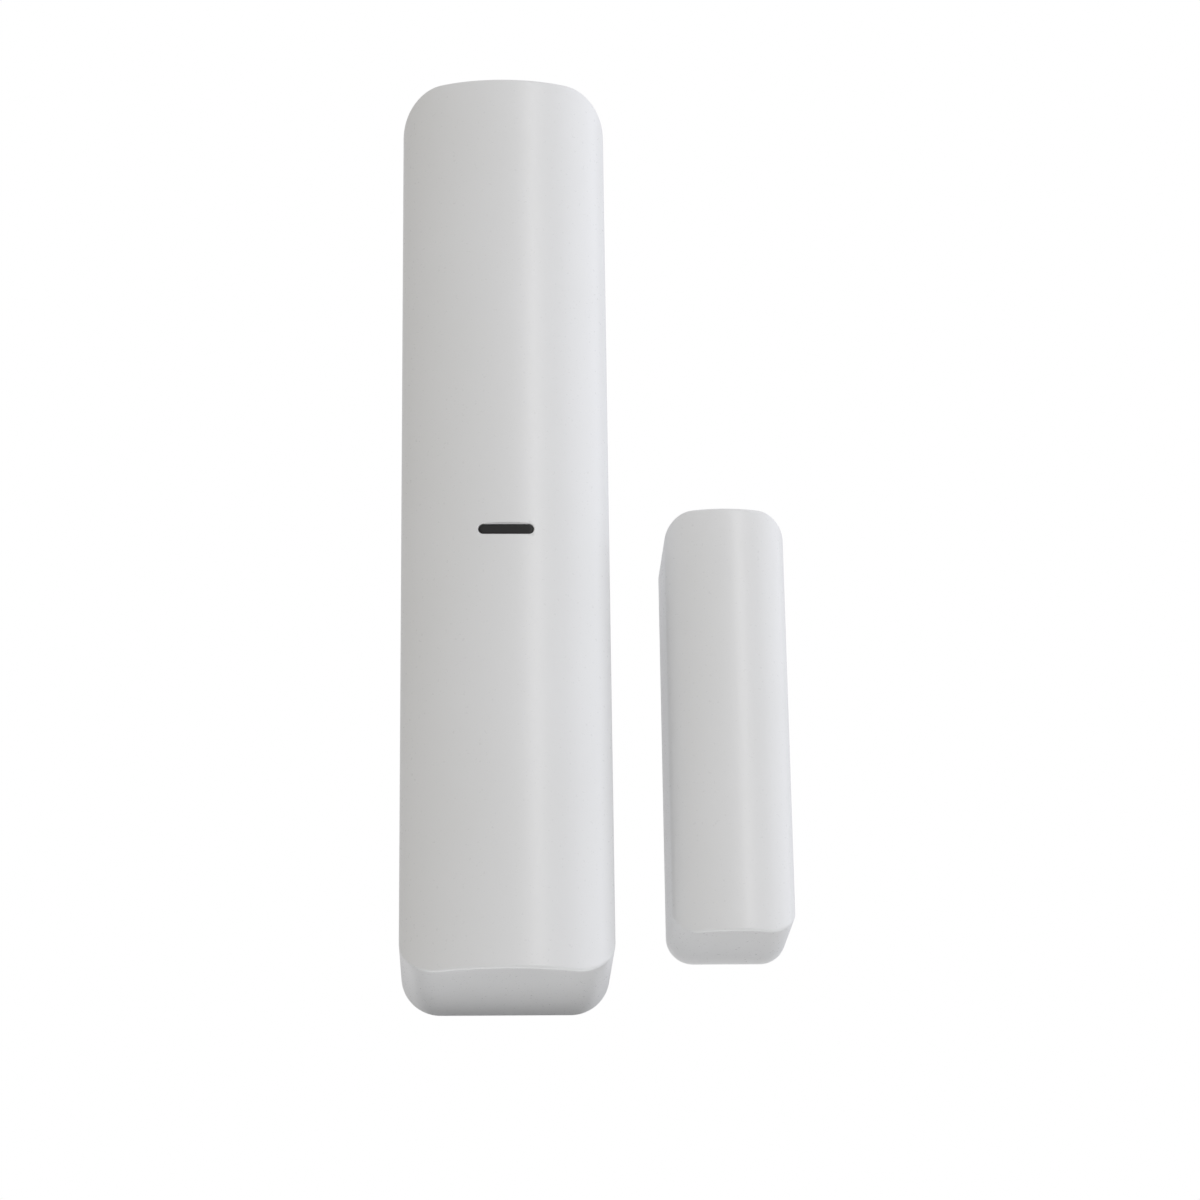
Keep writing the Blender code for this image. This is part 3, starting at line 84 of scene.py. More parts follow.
def new_finish(name, constants):
    """A finish with those constants on its shader, returned with its tree and its Object coordinates."""
    finish = bpy.data.materials.new(name)
    finish.use_nodes = True
    tree = finish.node_tree
    for socket, value in constants.items():
        tree.nodes["Principled BSDF"].inputs[socket].default_value = value
    return finish, tree, add(tree, "ShaderNodeTexCoord", give="Object")


def dress(tree, colour, skin, roughness, depth, span=(0.3, 0.7)):
    """Gives the shader a colour, and a skin whose height drives the gloss over its span and the relief."""
    inputs = {"Value": skin, "From Min": span[0], "From Max": span[1],
              "To Min": roughness[0], "To Max": roughness[1]}
    gloss = add(tree, "ShaderNodeMapRange", inputs)
    raised = add(tree, "ShaderNodeBump", {"Height": skin, "Distance": depth})
    shader = tree.nodes["Principled BSDF"]
    for socket, source in (("Base Color", colour), ("Roughness", gloss), ("Normal", raised)):
        tree.links.new(source, shader.inputs[socket])


def clouded(name, tones, cloud, grain, roughness, depth, constants, stretch=(1, 1, 1)):
    """A finish in two close tones that drift into each other, under a finer grain that may be drawn out."""
    finish, tree, place = new_finish(name, constants)
    drift = add(tree, "ShaderNodeTexNoise", {"Vector": place, "Scale": 1 / cloud})
    inputs = {0: drift, 6: linear(tones[0]), 7: linear(tones[1])}
    tone = add(tree, "ShaderNodeMix", inputs, data_type="RGBA", give=2)
    drawn = add(tree, "ShaderNodeMapping", {"Vector": place, "Scale": stretch})
    inputs = {"Vector": drawn, "Scale": 1 / grain, "Detail": 3.0}
    dress(tree, tone, add(tree, "ShaderNodeTexNoise", inputs), roughness, depth)
    return finish


def moulded(name, tones, roughness, grain, pits):
    """Moulded plastic: a slow drift in tone, and the fine pitted skin of a spark-eroded mould."""
    gloss = (roughness - 0.04, roughness + 0.04)
    return clouded(name, tones, 14 * MM, grain, gloss, pits, {"IOR": 1.53})


# White ABS gives the eye an even, slightly warm white whose sheen is broken by a skin too fine to count.
# The real skin is about 0.05 mm, and it is drawn at 0.3 mm so that it shows at all.
white_abs = moulded("white_satin_abs", ("#e4e4e3", "#e9e9e9"), 0.31, 0.3 * MM, 0.002 * MM)


def shown(name, data):
    """A new object in the scene, at the origin."""
    made = bpy.data.objects.new(name, data)
    bpy.context.scene.collection.objects.link(made)
    return made


def settle(name, work, *finishes, sharp=35):
    """Turns worked geometry into a piece with outward faces, soft shading and crisp sharp edges."""
    bmesh.ops.recalc_face_normals(work, faces=work.faces)
    mesh = bpy.data.meshes.new(name)
    work.to_mesh(mesh)
    work.free()
    mesh.shade_smooth()
    mesh.set_sharp_from_angle(angle=math.radians(sharp))
    for finish in finishes:
        mesh.materials.append(finish)
    piece = shown(name, mesh)
    piece.modifiers.new("even_normals", "WEIGHTED_NORMAL").keep_sharp = True
    return fixed(piece)


def fixed(piece):
    """Makes what the piece's modifiers give into its own plain mesh."""
    evaluated = piece.evaluated_get(bpy.context.evaluated_depsgraph_get())
    mesh = bpy.data.meshes.new_from_object(evaluated)
    mesh.name = piece.name
    piece.modifiers.clear()
    piece.data = mesh
    return piece


def set_in(piece, body, slot, *nodes):
    """Hangs a piece on its body and hides the CAD parts it stands for. The slot it is given is not used."""
    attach(piece, body)
    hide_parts(*nodes)


def eased(name, node, edge, finish, body, slot):
    """Sets in a copy of a CAD part, its square edges rounded over by the radius of its mould or die."""
    work = bmesh.new()
    work.from_mesh(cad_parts[node].data)
    bmesh.ops.remove_doubles(work, verts=work.verts, dist=0.002 * MM)
    bmesh.ops.dissolve_limit(work, angle_limit=math.radians(1), verts=work.verts, edges=work.edges)
    square = [e for e in work.edges if e.is_manifold and e.calc_face_angle() > math.radians(40)]
    bmesh.ops.bevel(work, geom=square, offset=edge, segments=2, profile=0.6, affect="EDGES")
    for face in work.faces:
        face.material_index = 0
    set_in(settle(name, work, finish), body, slot, node)


eased("wall_plate", "mounting_bracket", 0.12 * MM, white_abs, "wall_side", "white_abs")

# ----------
# Foam tape. Three die-cut pads of grey closed-cell polyethylene foam, with adhesive on both faces: two behind
# the wall plate and one behind the magnet's plate. The press pinches in the cut edge between the two faces.

OUTLINE_STEPS = 8  # facets round one corner of an outline


def outline(half_x, half_z, corner):
    """A rounded rectangle round the origin, as (x, z) points in order."""
    points = []
    for quarter, (sx, sz) in enumerate(((1, 1), (-1, 1), (-1, -1), (1, -1))):
        for step in range(OUTLINE_STEPS + 1):
            angle = math.pi / 2 * (quarter + step / OUTLINE_STEPS)
            x = sx * (half_x - corner) + corner * math.cos(angle)
            points.append((x, sz * (half_z - corner) + corner * math.sin(angle)))
    return points


def stack(work, rings):
    """Skins a closed solid over rings of points, each ring with the same count, and closes both ends."""
    rows = [[work.verts.new(point) for point in ring] for ring in rings]
    for low, high in zip(rows, rows[1:]):
        for i in range(len(low)):
            j = (i + 1) % len(low)
            work.faces.new((low[i], low[j], high[j], high[i]))
    work.faces.new(rows[0])
    work.faces.new(reversed(rows[-1]))


def slab(work, x, depth, z, corner, edge, waist=0.0):
    """A block between limits: rounded in outline, eased at both faces, drawn in by waist at its middle."""
    middle_x, middle_z = sum(x) / 2, sum(z) / 2
    half_x, half_z = (x[1] - x[0]) / 2, (z[1] - z[0]) / 2
    turns = (0, 0.5, 1.05, math.pi / 2)
    rows = [(depth[0] + edge * (1 - math.cos(a)), edge * (1 - math.sin(a))) for a in turns]
    rows.append((sum(depth) / 2, waist))
    rows += [(depth[0] + depth[1] - d, inset) for d, inset in reversed(rows[:4])]
    rings = []
    for d, inset in rows:
        shape = outline(half_x - inset, half_z - inset, max(corner - inset, 0.01 * MM))
        rings.append([(middle_x + px, -d, middle_z + pz) for px, pz in shape])
    stack(work, rings)


def pressed(name, place, corner, edge, finish, waist=0.0):
    """A piece that is one such block."""
    work = bmesh.new()
    slab(work, *place, corner, edge, waist)
    return settle(name, work, finish)


def limits(node):
    """A CAD part's place at rest, as its limits in x, in depth and in z."""
    low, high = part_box(node)
    return (low.x, high.x), (-high.y, -low.y), (low.z, high.z)


# Closed-cell foam gives the eye a soft matt grey with a fine bubbled skin and no highlight. The cells are
# about 0.3 mm wide, and darken at their walls.
grey_foam, tree, place = new_finish("closed_cell_foam", {})
cells = add(tree, "ShaderNodeTexVoronoi", {"Vector": place, "Scale": 1 / (0.35 * MM)})
inputs = {0: cells, 6: linear("#6e6f72"), 7: linear("#55565a")}
cell_grey = add(tree, "ShaderNodeMix", inputs, data_type="RGBA", give=2)
dress(tree, cell_grey, cells, (0.82, 0.95), 0.04 * MM, span=(0.1, 0.8))

for name, node, body in (
    ("foam_pad_upper", "adhesive_pad_upper", "wall_side"),
    ("foam_pad_lower", "adhesive_pad_lower", "wall_side"),
    ("foam_pad_magnet", "magnet_adhesive_pad", "door_side"),
):
    pad = pressed(name, limits(node), 1.0 * MM, 0.08 * MM, grey_foam, waist=0.12 * MM)
    set_in(pad, body, "foam_tape", node)

# ----------
# Chassis. A tray moulded in pale grey ABS, which hooks on the wall plate: low side walls with snap bumps,
# two screw bosses for the board, a bulkhead and an end stop that hold the cell, and a window in its floor
# behind the cell.

# Grey ABS gives the eye a flat pale grey, a little duller than the cover, because nobody sees it in use.
grey_abs = moulded("pale_grey_abs", ("#c3c4c3", "#cccdcc"), 0.5, 0.35 * MM, 0.006 * MM)

eased("chassis_tray", "back_chassis", 0.08 * MM, grey_abs, "detector", "grey_abs")

# ----------
# Circuit board. One millimetre of glass-epoxy laminate under green solder mask, with copper tracks that
# stand up under the mask, tinned rings round its screw holes, and a solder joint where each leg meets it.

# Solder mask gives the eye a glossy green lacquer over long, slightly raised tracks in a paler green.
mask_green, tree, place = new_finish("green_solder_mask", {})
wiggle = add(tree, "ShaderNodeTexNoise", {"Vector": place, "Scale": 1 / (6 * MM)})
face_on = add(tree, "ShaderNodeMapping", {"Vector": place, "Rotation": (math.pi / 2, 0, math.pi / 2)})
inputs = {"Vector": face_on, "Scale": 1 / MM, "Brick Width": 5.2, "Row Height": 0.62,
          "Mortar Size": 0.1, "Mortar Smooth": 0.2, "Bias": 0.0}
gap = add(tree, "ShaderNodeTexBrick", inputs, offset=0.37, squash=0.6, squash_frequency=3, give="Fac")
inputs = {0: gap, 6: linear("#1f7d46"), 7: linear("#0d4a27")}
tinted = add(tree, "ShaderNodeMix", inputs, data_type="RGBA", give=2)
inputs = {0: wiggle, 6: tinted, 7: linear("#14613a")}
lacquer = add(tree, "ShaderNodeMix", inputs, data_type="RGBA", give=2)
track = add(tree, "ShaderNodeMath", {0: 1.0, 1: gap}, operation="SUBTRACT")
dress(tree, lacquer, track, (0.29, 0.34), 0.03 * MM, span=(0.0, 1.0))

eased("circuit_board_masked", "circuit_board", 0.05 * MM, mask_green, "detector", "board_green")


def plated(name, tones, roughness, grain, scratch, stretch=(1, 1, 1)):
    """Plated or drawn metal: two tones of one metal, and a fine grain along the way it was worked."""
    gloss = (roughness - 0.07, roughness + 0.09)
    return clouded(name, tones, 2.5 * MM, grain, gloss, scratch, {"Metallic": 1.0}, stretch)


def grown_by_nodes(name, source, build, values, finish):
    """Runs a geometry tree over a source mesh or curve, and keeps what it makes as one plain piece."""
    tree = bpy.data.node_groups.new(name + "_tree", "GeometryNodeTree")
    tree.interface.new_socket("Geometry", in_out="INPUT", socket_type="NodeSocketGeometry")
    tree.interface.new_socket("Geometry", in_out="OUTPUT", socket_type="NodeSocketGeometry")
    for label in values:
        tree.interface.new_socket(label, in_out="INPUT", socket_type="NodeSocketFloat")
    tree.interface.new_socket("Finish", in_out="INPUT", socket_type="NodeSocketMaterial")
    entry = add(tree, "NodeGroupInput").node.outputs
    shaped = build(tree, entry)
    smooth = add(tree, "GeometryNodeSetShadeSmooth", {"Geometry": shaped})
    real = add(tree, "GeometryNodeRealizeInstances", {"Geometry": smooth})
    inputs = {"Geometry": real, "Material": entry["Finish"]}
    painted = add(tree, "GeometryNodeSetMaterial", inputs)
    add(tree, "NodeGroupOutput", {"Geometry": painted})
    host = shown(name, source)
    grower = host.modifiers.new("grower", "NODES")
    grower.node_group = tree
    for label, value in {**values, "Finish": finish}.items():
        grower[tree.interface.items_tree[label].identifier] = value
    mesh = bpy.data.meshes.new_from_object(host.evaluated_get(bpy.context.evaluated_depsgraph_get()))
    bpy.data.objects.remove(host)
    mesh.name = name
    mesh.materials.clear()
    mesh.materials.append(finish)
    return shown(name, mesh)


def joints_at_points(tree, entry):
    """A low round solder joint on every point of the source, flattened against the board."""
    inputs = {"Segments": 16, "Rings": 8, "Radius": entry["Joint radius"]}
    drop = add(tree, "GeometryNodeMeshUVSphere", inputs)
    flat = add(tree, "ShaderNodeCombineXYZ", {"X": 1.0, "Y": entry["Joint rise"], "Z": 1.0})
    inputs = {"Points": entry["Geometry"], "Instance": drop, "Scale": flat}
    return add(tree, "GeometryNodeInstanceOnPoints", inputs)


# Tin-lead solder gives the eye small bright domes, a little cloudy.
solder = plated("tin_solder", ("#a9aaa8", "#c8c9c9"), 0.24, 0.5 * MM, 0.003 * MM)

BOARD_FACE = 9.0 * MM
JOINT_PLACES = [
    (5.7, 1.1), (5.7, 16.9), (5.7, 17.1), (5.7, 32.9), (-4.6, 24.9),
    (-6.75, 0.8), (-4.45, 0.8), (-6.75, 3.6), (-4.45, 3.6), (-6.75, 6.4), (-4.45, 6.4),
    (-7.0, 17.6), (-3.6, 17.6), (-1.15, -2.4), (1.15, -2.4), (5.9, -3.0),
    (-3.15, 17.3), (-3.15, 21.2), (-3.15, 25.1), (3.95, 17.3), (3.95, 21.2), (3.95, 25.1),
]  # x and z on the board, in millimetres, where a leg or an end cap is soldered
spots = bpy.data.meshes.new("joint_places")
spots.from_pydata([(x * MM, -BOARD_FACE, z * MM) for x, z in JOINT_PLACES], [], [])
joint_sizes = {"Joint radius": 0.36 * MM, "Joint rise": 0.55}
joints = grown_by_nodes("solder_joints", spots, joints_at_points, joint_sizes, solder)
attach(joints, "detector")

# ----------
# Board screws. Two nickel-plated pan-head screws, cold-headed with a cross recess and rolled threads,
# driven through the board into the bosses of the chassis.

ROUND_STEPS = 48


def rounded(profile, radius, steps=4):
    """A profile or a path with each of its inner corners turned over by about that radius."""
    made = [Vector(profile[0])]
    for before, corner, after in zip(profile, profile[1:], profile[2:]):
        corner = Vector(corner)
        back, on = Vector(before) - corner, Vector(after) - corner
        start = corner + back.normalized() * min(radius, back.length / 2)
        end = corner + on.normalized() * min(radius, on.length / 2)
        for step in range(steps + 1):
            s = step / steps
            made.append(start * (1 - s) ** 2 + corner * (2 * s * (1 - s)) + end * s**2)
    made.append(Vector(profile[-1]))
    return made


def turned(work, profile, centre, axis, steps=ROUND_STEPS):
    """Turns a (radius, height) profile about an axis through the centre, as on a lathe, into a solid."""
    axis = Vector(axis)
    across = axis.orthogonal().normalized()
    other = axis.cross(across)
    rows = []
    for radius, height in profile:
        ring = []
        for step in range(steps):
            angle = 2 * math.pi * step / steps
            way = across * math.cos(angle) + other * math.sin(angle)
            ring.append(work.verts.new(Vector(centre) + axis * height + way * radius))
        rows.append(ring)
    closed_loop = profile[0][0] > 0 and profile[-1][0] > 0
    pairs = list(zip(rows, rows[1:])) + ([(rows[-1], rows[0])] if closed_loop else [])
    for low, high in pairs:
        for i in range(steps):
            j = (i + 1) % steps
            work.faces.new((low[i], low[j], high[j], high[i]))
    bmesh.ops.remove_doubles(work, verts=[v for row in rows for v in row], dist=0.0005 * MM)


def lathed(name, profile, centre, axis, finish, steps=ROUND_STEPS, sharp=35):
    """A piece turned from a profile in millimetres."""
    work = bmesh.new()
    turned(work, [p * MM for p in profile], centre, axis, steps)
    return settle(name, work, finish, sharp=sharp)


def carved(piece, cutter_work):
    """Cuts a worked shape out of a piece. The cut's own faces are flat, so no shading runs over its edge."""
    bmesh.ops.recalc_face_normals(cutter_work, faces=cutter_work.faces)
    for face in cutter_work.faces:
        face.smooth = False
    mesh = bpy.data.meshes.new("cutter")
    cutter_work.to_mesh(mesh)
    cutter_work.free()
    cutter = shown("cutter", mesh)
    cut = piece.modifiers.new("cut", "BOOLEAN")
    cut.object = cutter
    cut.solver = "EXACT"
    fixed(piece)
    bpy.data.objects.remove(cutter)


def about(centre, half):
    """The two limits at that distance to each side of a centre."""
    return centre - half, centre + half


def crossed(piece, centre, top, over, arm, width, deep, corner, edge):
    """Cuts a cross into a face at the height top, one bar at a time. The bars stand over the face by over."""
    for x, z, sunk in ((arm, width, deep), (width, arm, deep + 0.001 * MM)):
        bar = bmesh.new()
        slab(bar, about(centre.x, x), (top - sunk, top + over), about(centre.z, z), corner, edge)
        carved(piece, bar)


def drilled(piece, profile, place, steps=ROUND_STEPS):
    """Cuts a turned hollow straight into a face, from a profile in millimetres."""
    drill = bmesh.new()
    turned(drill, [(r * MM, h * MM) for r, h in profile], place, (0, -1, 0), steps)
    carved(piece, drill)


def middle(node):
    """The middle of a CAD part's box at rest."""
    low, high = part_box(node)
    return (low + high) / 2


# Nickel plate gives the eye a bright, faintly yellow grey with soft drawn lines.
nickel = plated("nickel_plate", ("#b3aea4", "#cfcbc2"), 0.26, 0.25 * MM, 0.002 * MM, (1, 1, 4))

SCREW_TOP = 10.25 * MM
SCREW_HEAD = [(0, 0), (1.0, -0.02), (1.45, -0.3), (1.7, -0.75), (1.7, -1.2), (0.8, -1.2)]
SCREW_POINT = [(0.4, -5.3), (0, -5.4)]
THREAD_START = -1.25
THREAD_PITCH = 0.5
THREAD_TURNS = 8
profile = rounded(SCREW_HEAD, 0.12)
for turn in range(THREAD_TURNS):
    root = THREAD_START - turn * THREAD_PITCH
    profile += [Vector((0.62, root)), Vector((0.8, root - THREAD_PITCH / 2))]
profile += [Vector(p) for p in SCREW_POINT]
centre = middle("board_screw_lower")
screw = lathed("one_screw", profile, (centre.x, -SCREW_TOP, centre.z), (0, -1, 0), nickel)
crossed(screw, centre, SCREW_TOP, 0.5 * MM, 1.0 * MM, 0.2 * MM, 0.7 * MM, 0.05 * MM, 0.02 * MM)


def both_screws(tree, entry):
    """The source screw where it stands, and again one step on."""
    inputs = {"X": entry["Step across"], "Z": entry["Step up"]}
    step = add(tree, "ShaderNodeCombineXYZ", inputs)
    bosses = add(tree, "GeometryNodeMeshLine", {"Count": 2, "Offset": step})
    inputs = {"Points": bosses, "Instance": entry["Geometry"]}
    return add(tree, "GeometryNodeInstanceOnPoints", inputs)


step = middle("board_screw_upper") - centre
step_sizes = {"Step across": step.x, "Step up": step.z}
screws = grown_by_nodes("pan_screws", screw.data, both_screws, step_sizes, nickel)
bpy.data.objects.remove(screw)
set_in(screws, "detector", "nickel_plate", "board_screw_lower", "board_screw_upper")

# ----------
# Microcontroller. A transfer-moulded package of black epoxy round a lead frame: chamfered top, a round
# ejector dimple that marks the first leg, and a comb of tinned gull-wing legs along its two short sides.

# Black epoxy gives the eye a dead charcoal with the sandy skin that its glass filler leaves.
epoxy = moulded("black_epoxy_filled", ("#232324", "#2b2b2d"), 0.55, 0.12 * MM, 0.008 * MM)

LEGS_PER_SIDE = 8
LEG_PITCH = 0.76 * MM
chip_x, chip_depth, chip_z = limits("microcontroller")
chip = pressed("controller_package", (chip_x, chip_depth, chip_z), 0.12 * MM, 0.14 * MM, epoxy)
mark = (chip_x[0] + 0.9 * MM, -chip_depth[1], chip_z[1] - 0.9 * MM)
drilled(chip, [(0, -0.07), (0.3, -0.07), (0.36, 0.1), (0, 0.1)], mark)
set_in(chip, "detector", "black_epoxy", "microcontroller")


def legs_in_a_row(tree, entry):
    """The same flat leg, with a shoulder under it, at each point of the source."""
    inputs = {"X": entry["Leg width"], "Y": entry["Leg gauge"], "Z": entry["Leg reach"]}
    size = add(tree, "ShaderNodeCombineXYZ", inputs)
    leg = add(tree, "GeometryNodeMeshCube", {"Size": size})
    lift = add(tree, "ShaderNodeCombineXYZ", {"Y": entry["Leg rise"]})
    inputs = {"Geometry": leg, "Translation": lift, "Scale": (1, 1, 0.55)}
    shoulder = add(tree, "GeometryNodeTransform", inputs)
    bent = add(tree, "GeometryNodeJoinGeometry")
    tree.links.new(leg, bent.node.inputs["Geometry"])
    tree.links.new(shoulder, bent.node.inputs["Geometry"])
    inputs = {"Points": entry["Geometry"], "Instance": bent}
    return add(tree, "GeometryNodeInstanceOnPoints", inputs)


row = bpy.data.meshes.new("leg_places")
first = sum(chip_x) / 2 - LEG_PITCH * (LEGS_PER_SIDE - 1) / 2
feet = [(first + LEG_PITCH * i, -chip_depth[0] - 0.03 * MM, z) for z in chip_z for i in range(LEGS_PER_SIDE)]
row.from_pydata(feet, [], [])
leg_sizes = {"Leg width": 0.3 * MM, "Leg gauge": 0.12 * MM, "Leg reach": 1.3 * MM, "Leg rise": -0.3 * MM}
legs = grown_by_nodes("controller_legs", row, legs_in_a_row, leg_sizes, solder)
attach(legs, "detector")

# ----------
# Radio shield and crystal. Two cans drawn from thin nickel silver and soldered over the radio and its
# crystal. The shield's lid is pierced by two rows of vent holes.

VENTS = 5


def punches_in_rows(tree, entry):
    """A round punch at each place of a grid two columns wide, set square to the lid at the source's point."""
    inputs = {"Vertices": 20, "Radius": entry["Vent radius"], "Depth": entry["Punch length"]}
    punch = add(tree, "GeometryNodeMeshCylinder", inputs)
    inputs = {"Size X": entry["Column gap"], "Size Y": entry["Column length"],
              "Vertices X": 2, "Vertices Y": VENTS}
    grid = add(tree, "GeometryNodeMeshGrid", inputs)
    rows = add(tree, "GeometryNodeInstanceOnPoints", {"Points": grid, "Instance": punch})
    inputs = {"Geometry": rows, "Rotation": (math.pi / 2, 0, 0)}
    upright = add(tree, "GeometryNodeTransform", inputs)
    inputs = {"Points": entry["Geometry"], "Instance": upright}
    return add(tree, "GeometryNodeInstanceOnPoints", inputs)


shield_x, shield_depth, shield_z = limits("radio_shield")
shield = pressed("shield_can", (shield_x, shield_depth, shield_z), 0.5 * MM, 0.22 * MM, nickel)
lid = bpy.data.meshes.new("lid_middle")
lid.from_pydata([(sum(shield_x) / 2, -shield_depth[1], sum(shield_z) / 2)], [], [])
vent_sizes = {"Vent radius": 0.33 * MM, "Punch length": 0.4 * MM,
              "Column gap": 3.8 * MM, "Column length": 5.2 * MM}
punches = grown_by_nodes("vent_punches", lid, punches_in_rows, vent_sizes, nickel)
holes = bmesh.new()
holes.from_mesh(punches.data)
bpy.data.objects.remove(punches)
carved(shield, holes)
set_in(shield, "detector", "nickel_plate", "radio_shield")


def widened(pair, by):
    """The same two limits, each moved out by that much."""
    return pair[0] - by, pair[1] + by


crystal_x, crystal_depth, crystal_z = limits("crystal_can")
work = bmesh.new()
rim = (crystal_depth[0], crystal_depth[0] + 0.16 * MM)
slab(work, crystal_x, rim, crystal_z, corner=0.55 * MM, edge=0.04 * MM)
inner_x, inner_z = widened(crystal_x, -0.2 * MM), widened(crystal_z, -0.2 * MM)
slab(work, inner_x, (rim[1] - 0.02 * MM, crystal_depth[1]), inner_z, corner=0.6 * MM, edge=0.18 * MM)
set_in(settle("crystal_cap", work, nickel), "detector", "nickel_plate", "crystal_can")

# ----------
# Ceramic capacitors. Three chips of fired barium titanate, tan and matt. Each has a tinned cap dipped round
# both of its ends.

# Fired ceramic gives the eye a tan body with a dry, finely speckled face.
ceramic = moulded("fired_tan_ceramic", ("#9a7b55", "#ae9068"), 0.62, 0.08 * MM, 0.004 * MM)

END_CAP = 0.42 * MM
CAP_SKIN = 0.015 * MM
for number in (1, 2, 3):
    node = f"ceramic_capacitor_{number}"
    chip_x, chip_depth, chip_z = limits(node)
    work = bmesh.new()
    slab(work, widened(chip_x, -0.05 * MM), chip_depth, chip_z, 0.06 * MM, 0.06 * MM)
    body_faces = len(work.faces)
    outer = (widened(chip_depth, CAP_SKIN), widened(chip_z, CAP_SKIN))
    for cap_x in ((chip_x[0], chip_x[0] + END_CAP), (chip_x[1] - END_CAP, chip_x[1])):
        slab(work, cap_x, *outer, 0.08 * MM, 0.06 * MM)
    work.faces.ensure_lookup_table()
    for face in work.faces[body_faces:]:
        face.material_index = 1
    capacitor = settle(f"ceramic_chip_{number}", work, ceramic, solder)
    set_in(capacitor, "detector", "capacitor_ceramic", node)

# ----------
# Storage capacitor. A drawn aluminium can, necked in over its rubber bung, with a crossed vent stamped in
# its top and a dark band printed over the negative side.


def inked(finish, share, ink):
    """Lays a second colour over a finish where the share is 1."""
    tree = finish.node_tree
    colour = tree.nodes["Principled BSDF"].inputs["Base Color"]
    inputs = {0: share, 6: colour.links[0].from_socket, 7: linear(ink)}
    tree.links.new(add(tree, "ShaderNodeMix", inputs, data_type="RGBA", give=2), colour)


centre = middle("storage_capacitor")
BAND_EDGE = centre.x - 1.1 * MM
# Drawn aluminium gives the eye a soft bright can with lines along its length. The printed band is not metal.
can_aluminium = plated("drawn_aluminium", ("#c4c5c6", "#cecfd0"), 0.28, 0.3 * MM, 0.002 * MM, (1, 8, 1))
tree = can_aluminium.node_tree
place = add(tree, "ShaderNodeTexCoord", give="Object")
can_x = add(tree, "ShaderNodeSeparateXYZ", {"Vector": place})
band = add(tree, "ShaderNodeMath", {0: can_x, 1: BAND_EDGE}, operation="LESS_THAN")
inked(can_aluminium, band, "#1d1e22")
bare = add(tree, "ShaderNodeMath", {0: 1.0, 1: band}, operation="SUBTRACT")
tree.links.new(bare, tree.nodes["Principled BSDF"].inputs["Metallic"])

CAN = [(0, 5.2), (1.75, 5.2), (2.0, 5.0), (2.0, 1.95), (1.72, 1.75), (1.72, 1.5), (2.0, 1.3)]
CAN += [(2.0, 0.02), (0, 0.02)]
CAN_FOOT, CAN_TOP = 9.05 * MM, 14.25 * MM
can_foot = (centre.x, -CAN_FOOT, centre.z)
can = lathed("electrolytic_can", rounded(CAN, 0.12), can_foot, (0, -1, 0), can_aluminium)
crossed(can, centre, CAN_TOP, 0.4 * MM, 1.2 * MM, 0.08 * MM, 0.1 * MM, 0.03 * MM, 0.01 * MM)
set_in(can, "detector", "nickel_plate", "storage_capacitor")

# ----------
# Indicator lamp. A surface-mount diode: a white moulded cup with a yellow phosphor pool in its round mouth,
# soldered to the board behind the slot of the cover.

lamp_middle = middle("indicator_led")
POOL_RADIUS = 0.6 * MM
# The lamp gives the eye a clean white cup round a lemon disc of phosphor.
lamp_tones = ("#e2c83a", "#efdc66")
lamp_white = clouded("phosphor_and_white_cup", lamp_tones, 0.1 * MM, 0.1 * MM, (0.3, 0.42), 0.003 * MM, {})
tree = lamp_white.node_tree
place = add(tree, "ShaderNodeTexCoord", give="Object")
inputs = {0: place, 1: (lamp_middle.x, 0, lamp_middle.z)}
offset = add(tree, "ShaderNodeVectorMath", inputs, operation="SUBTRACT")
flat = add(tree, "ShaderNodeVectorMath", {0: offset, 1: (1, 0, 1)}, operation="MULTIPLY")
away = add(tree, "ShaderNodeVectorMath", {0: flat}, operation="LENGTH", give="Value")
cup = add(tree, "ShaderNodeMath", {0: away, 1: POOL_RADIUS}, operation="GREATER_THAN")
inked(lamp_white, cup, "#ecebe4")

lamp = pressed("lamp_cup", limits("indicator_led"), 0.1 * MM, 0.06 * MM, lamp_white)
lamp_face = (lamp_middle.x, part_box("indicator_led")[0].y, lamp_middle.z)
drilled(lamp, [(0, -0.12), (0.5, -0.12), (0.62, 0.2), (0, 0.2)], lamp_face, steps=32)
set_in(lamp, "detector", "led_white", "indicator_led")

# ----------
# Reed switches. In each, two wire blades of nickel iron lap inside a green-tinted glass tube, whose ends were
# melted down on the leads. The leads bend down to the board beyond each end.

# Reed glass gives the eye a pale green tube with a bright line down each side, rippled by the sealing flame.
clear = {"IOR": 1.5, "Transmission Weight": 0.85}
glass_tones = ("#a8d2bd", "#bfe0cf")
reed_glass = clouded("green_reed_glass", glass_tones, 1.2 * MM, 1.2 * MM, (0.02, 0.07), 0.01 * MM, clear)


def wire_along_curve(tree, entry):
    """A round wire drawn along the source curve."""
    inputs = {"Resolution": 12, "Radius": entry["Wire radius"]}
    section = add(tree, "GeometryNodeCurvePrimitiveCircle", inputs)
    inputs = {"Curve": entry["Geometry"], "Profile Curve": section, "Fill Caps": True}
    return add(tree, "GeometryNodeCurveToMesh", inputs)


def wire(name, points, radius, finish):
    """A wire drawn through the points."""
    path = bpy.data.curves.new(name + "_path", "CURVE")
    path.dimensions = "3D"
    run = path.splines.new("POLY")
    run.points.add(len(points) - 1)
    for spot, point in zip(run.points, points):
        spot.co = (*point, 1.0)
    return grown_by_nodes(name, path, wire_along_curve, {"Wire radius": radius}, finish)


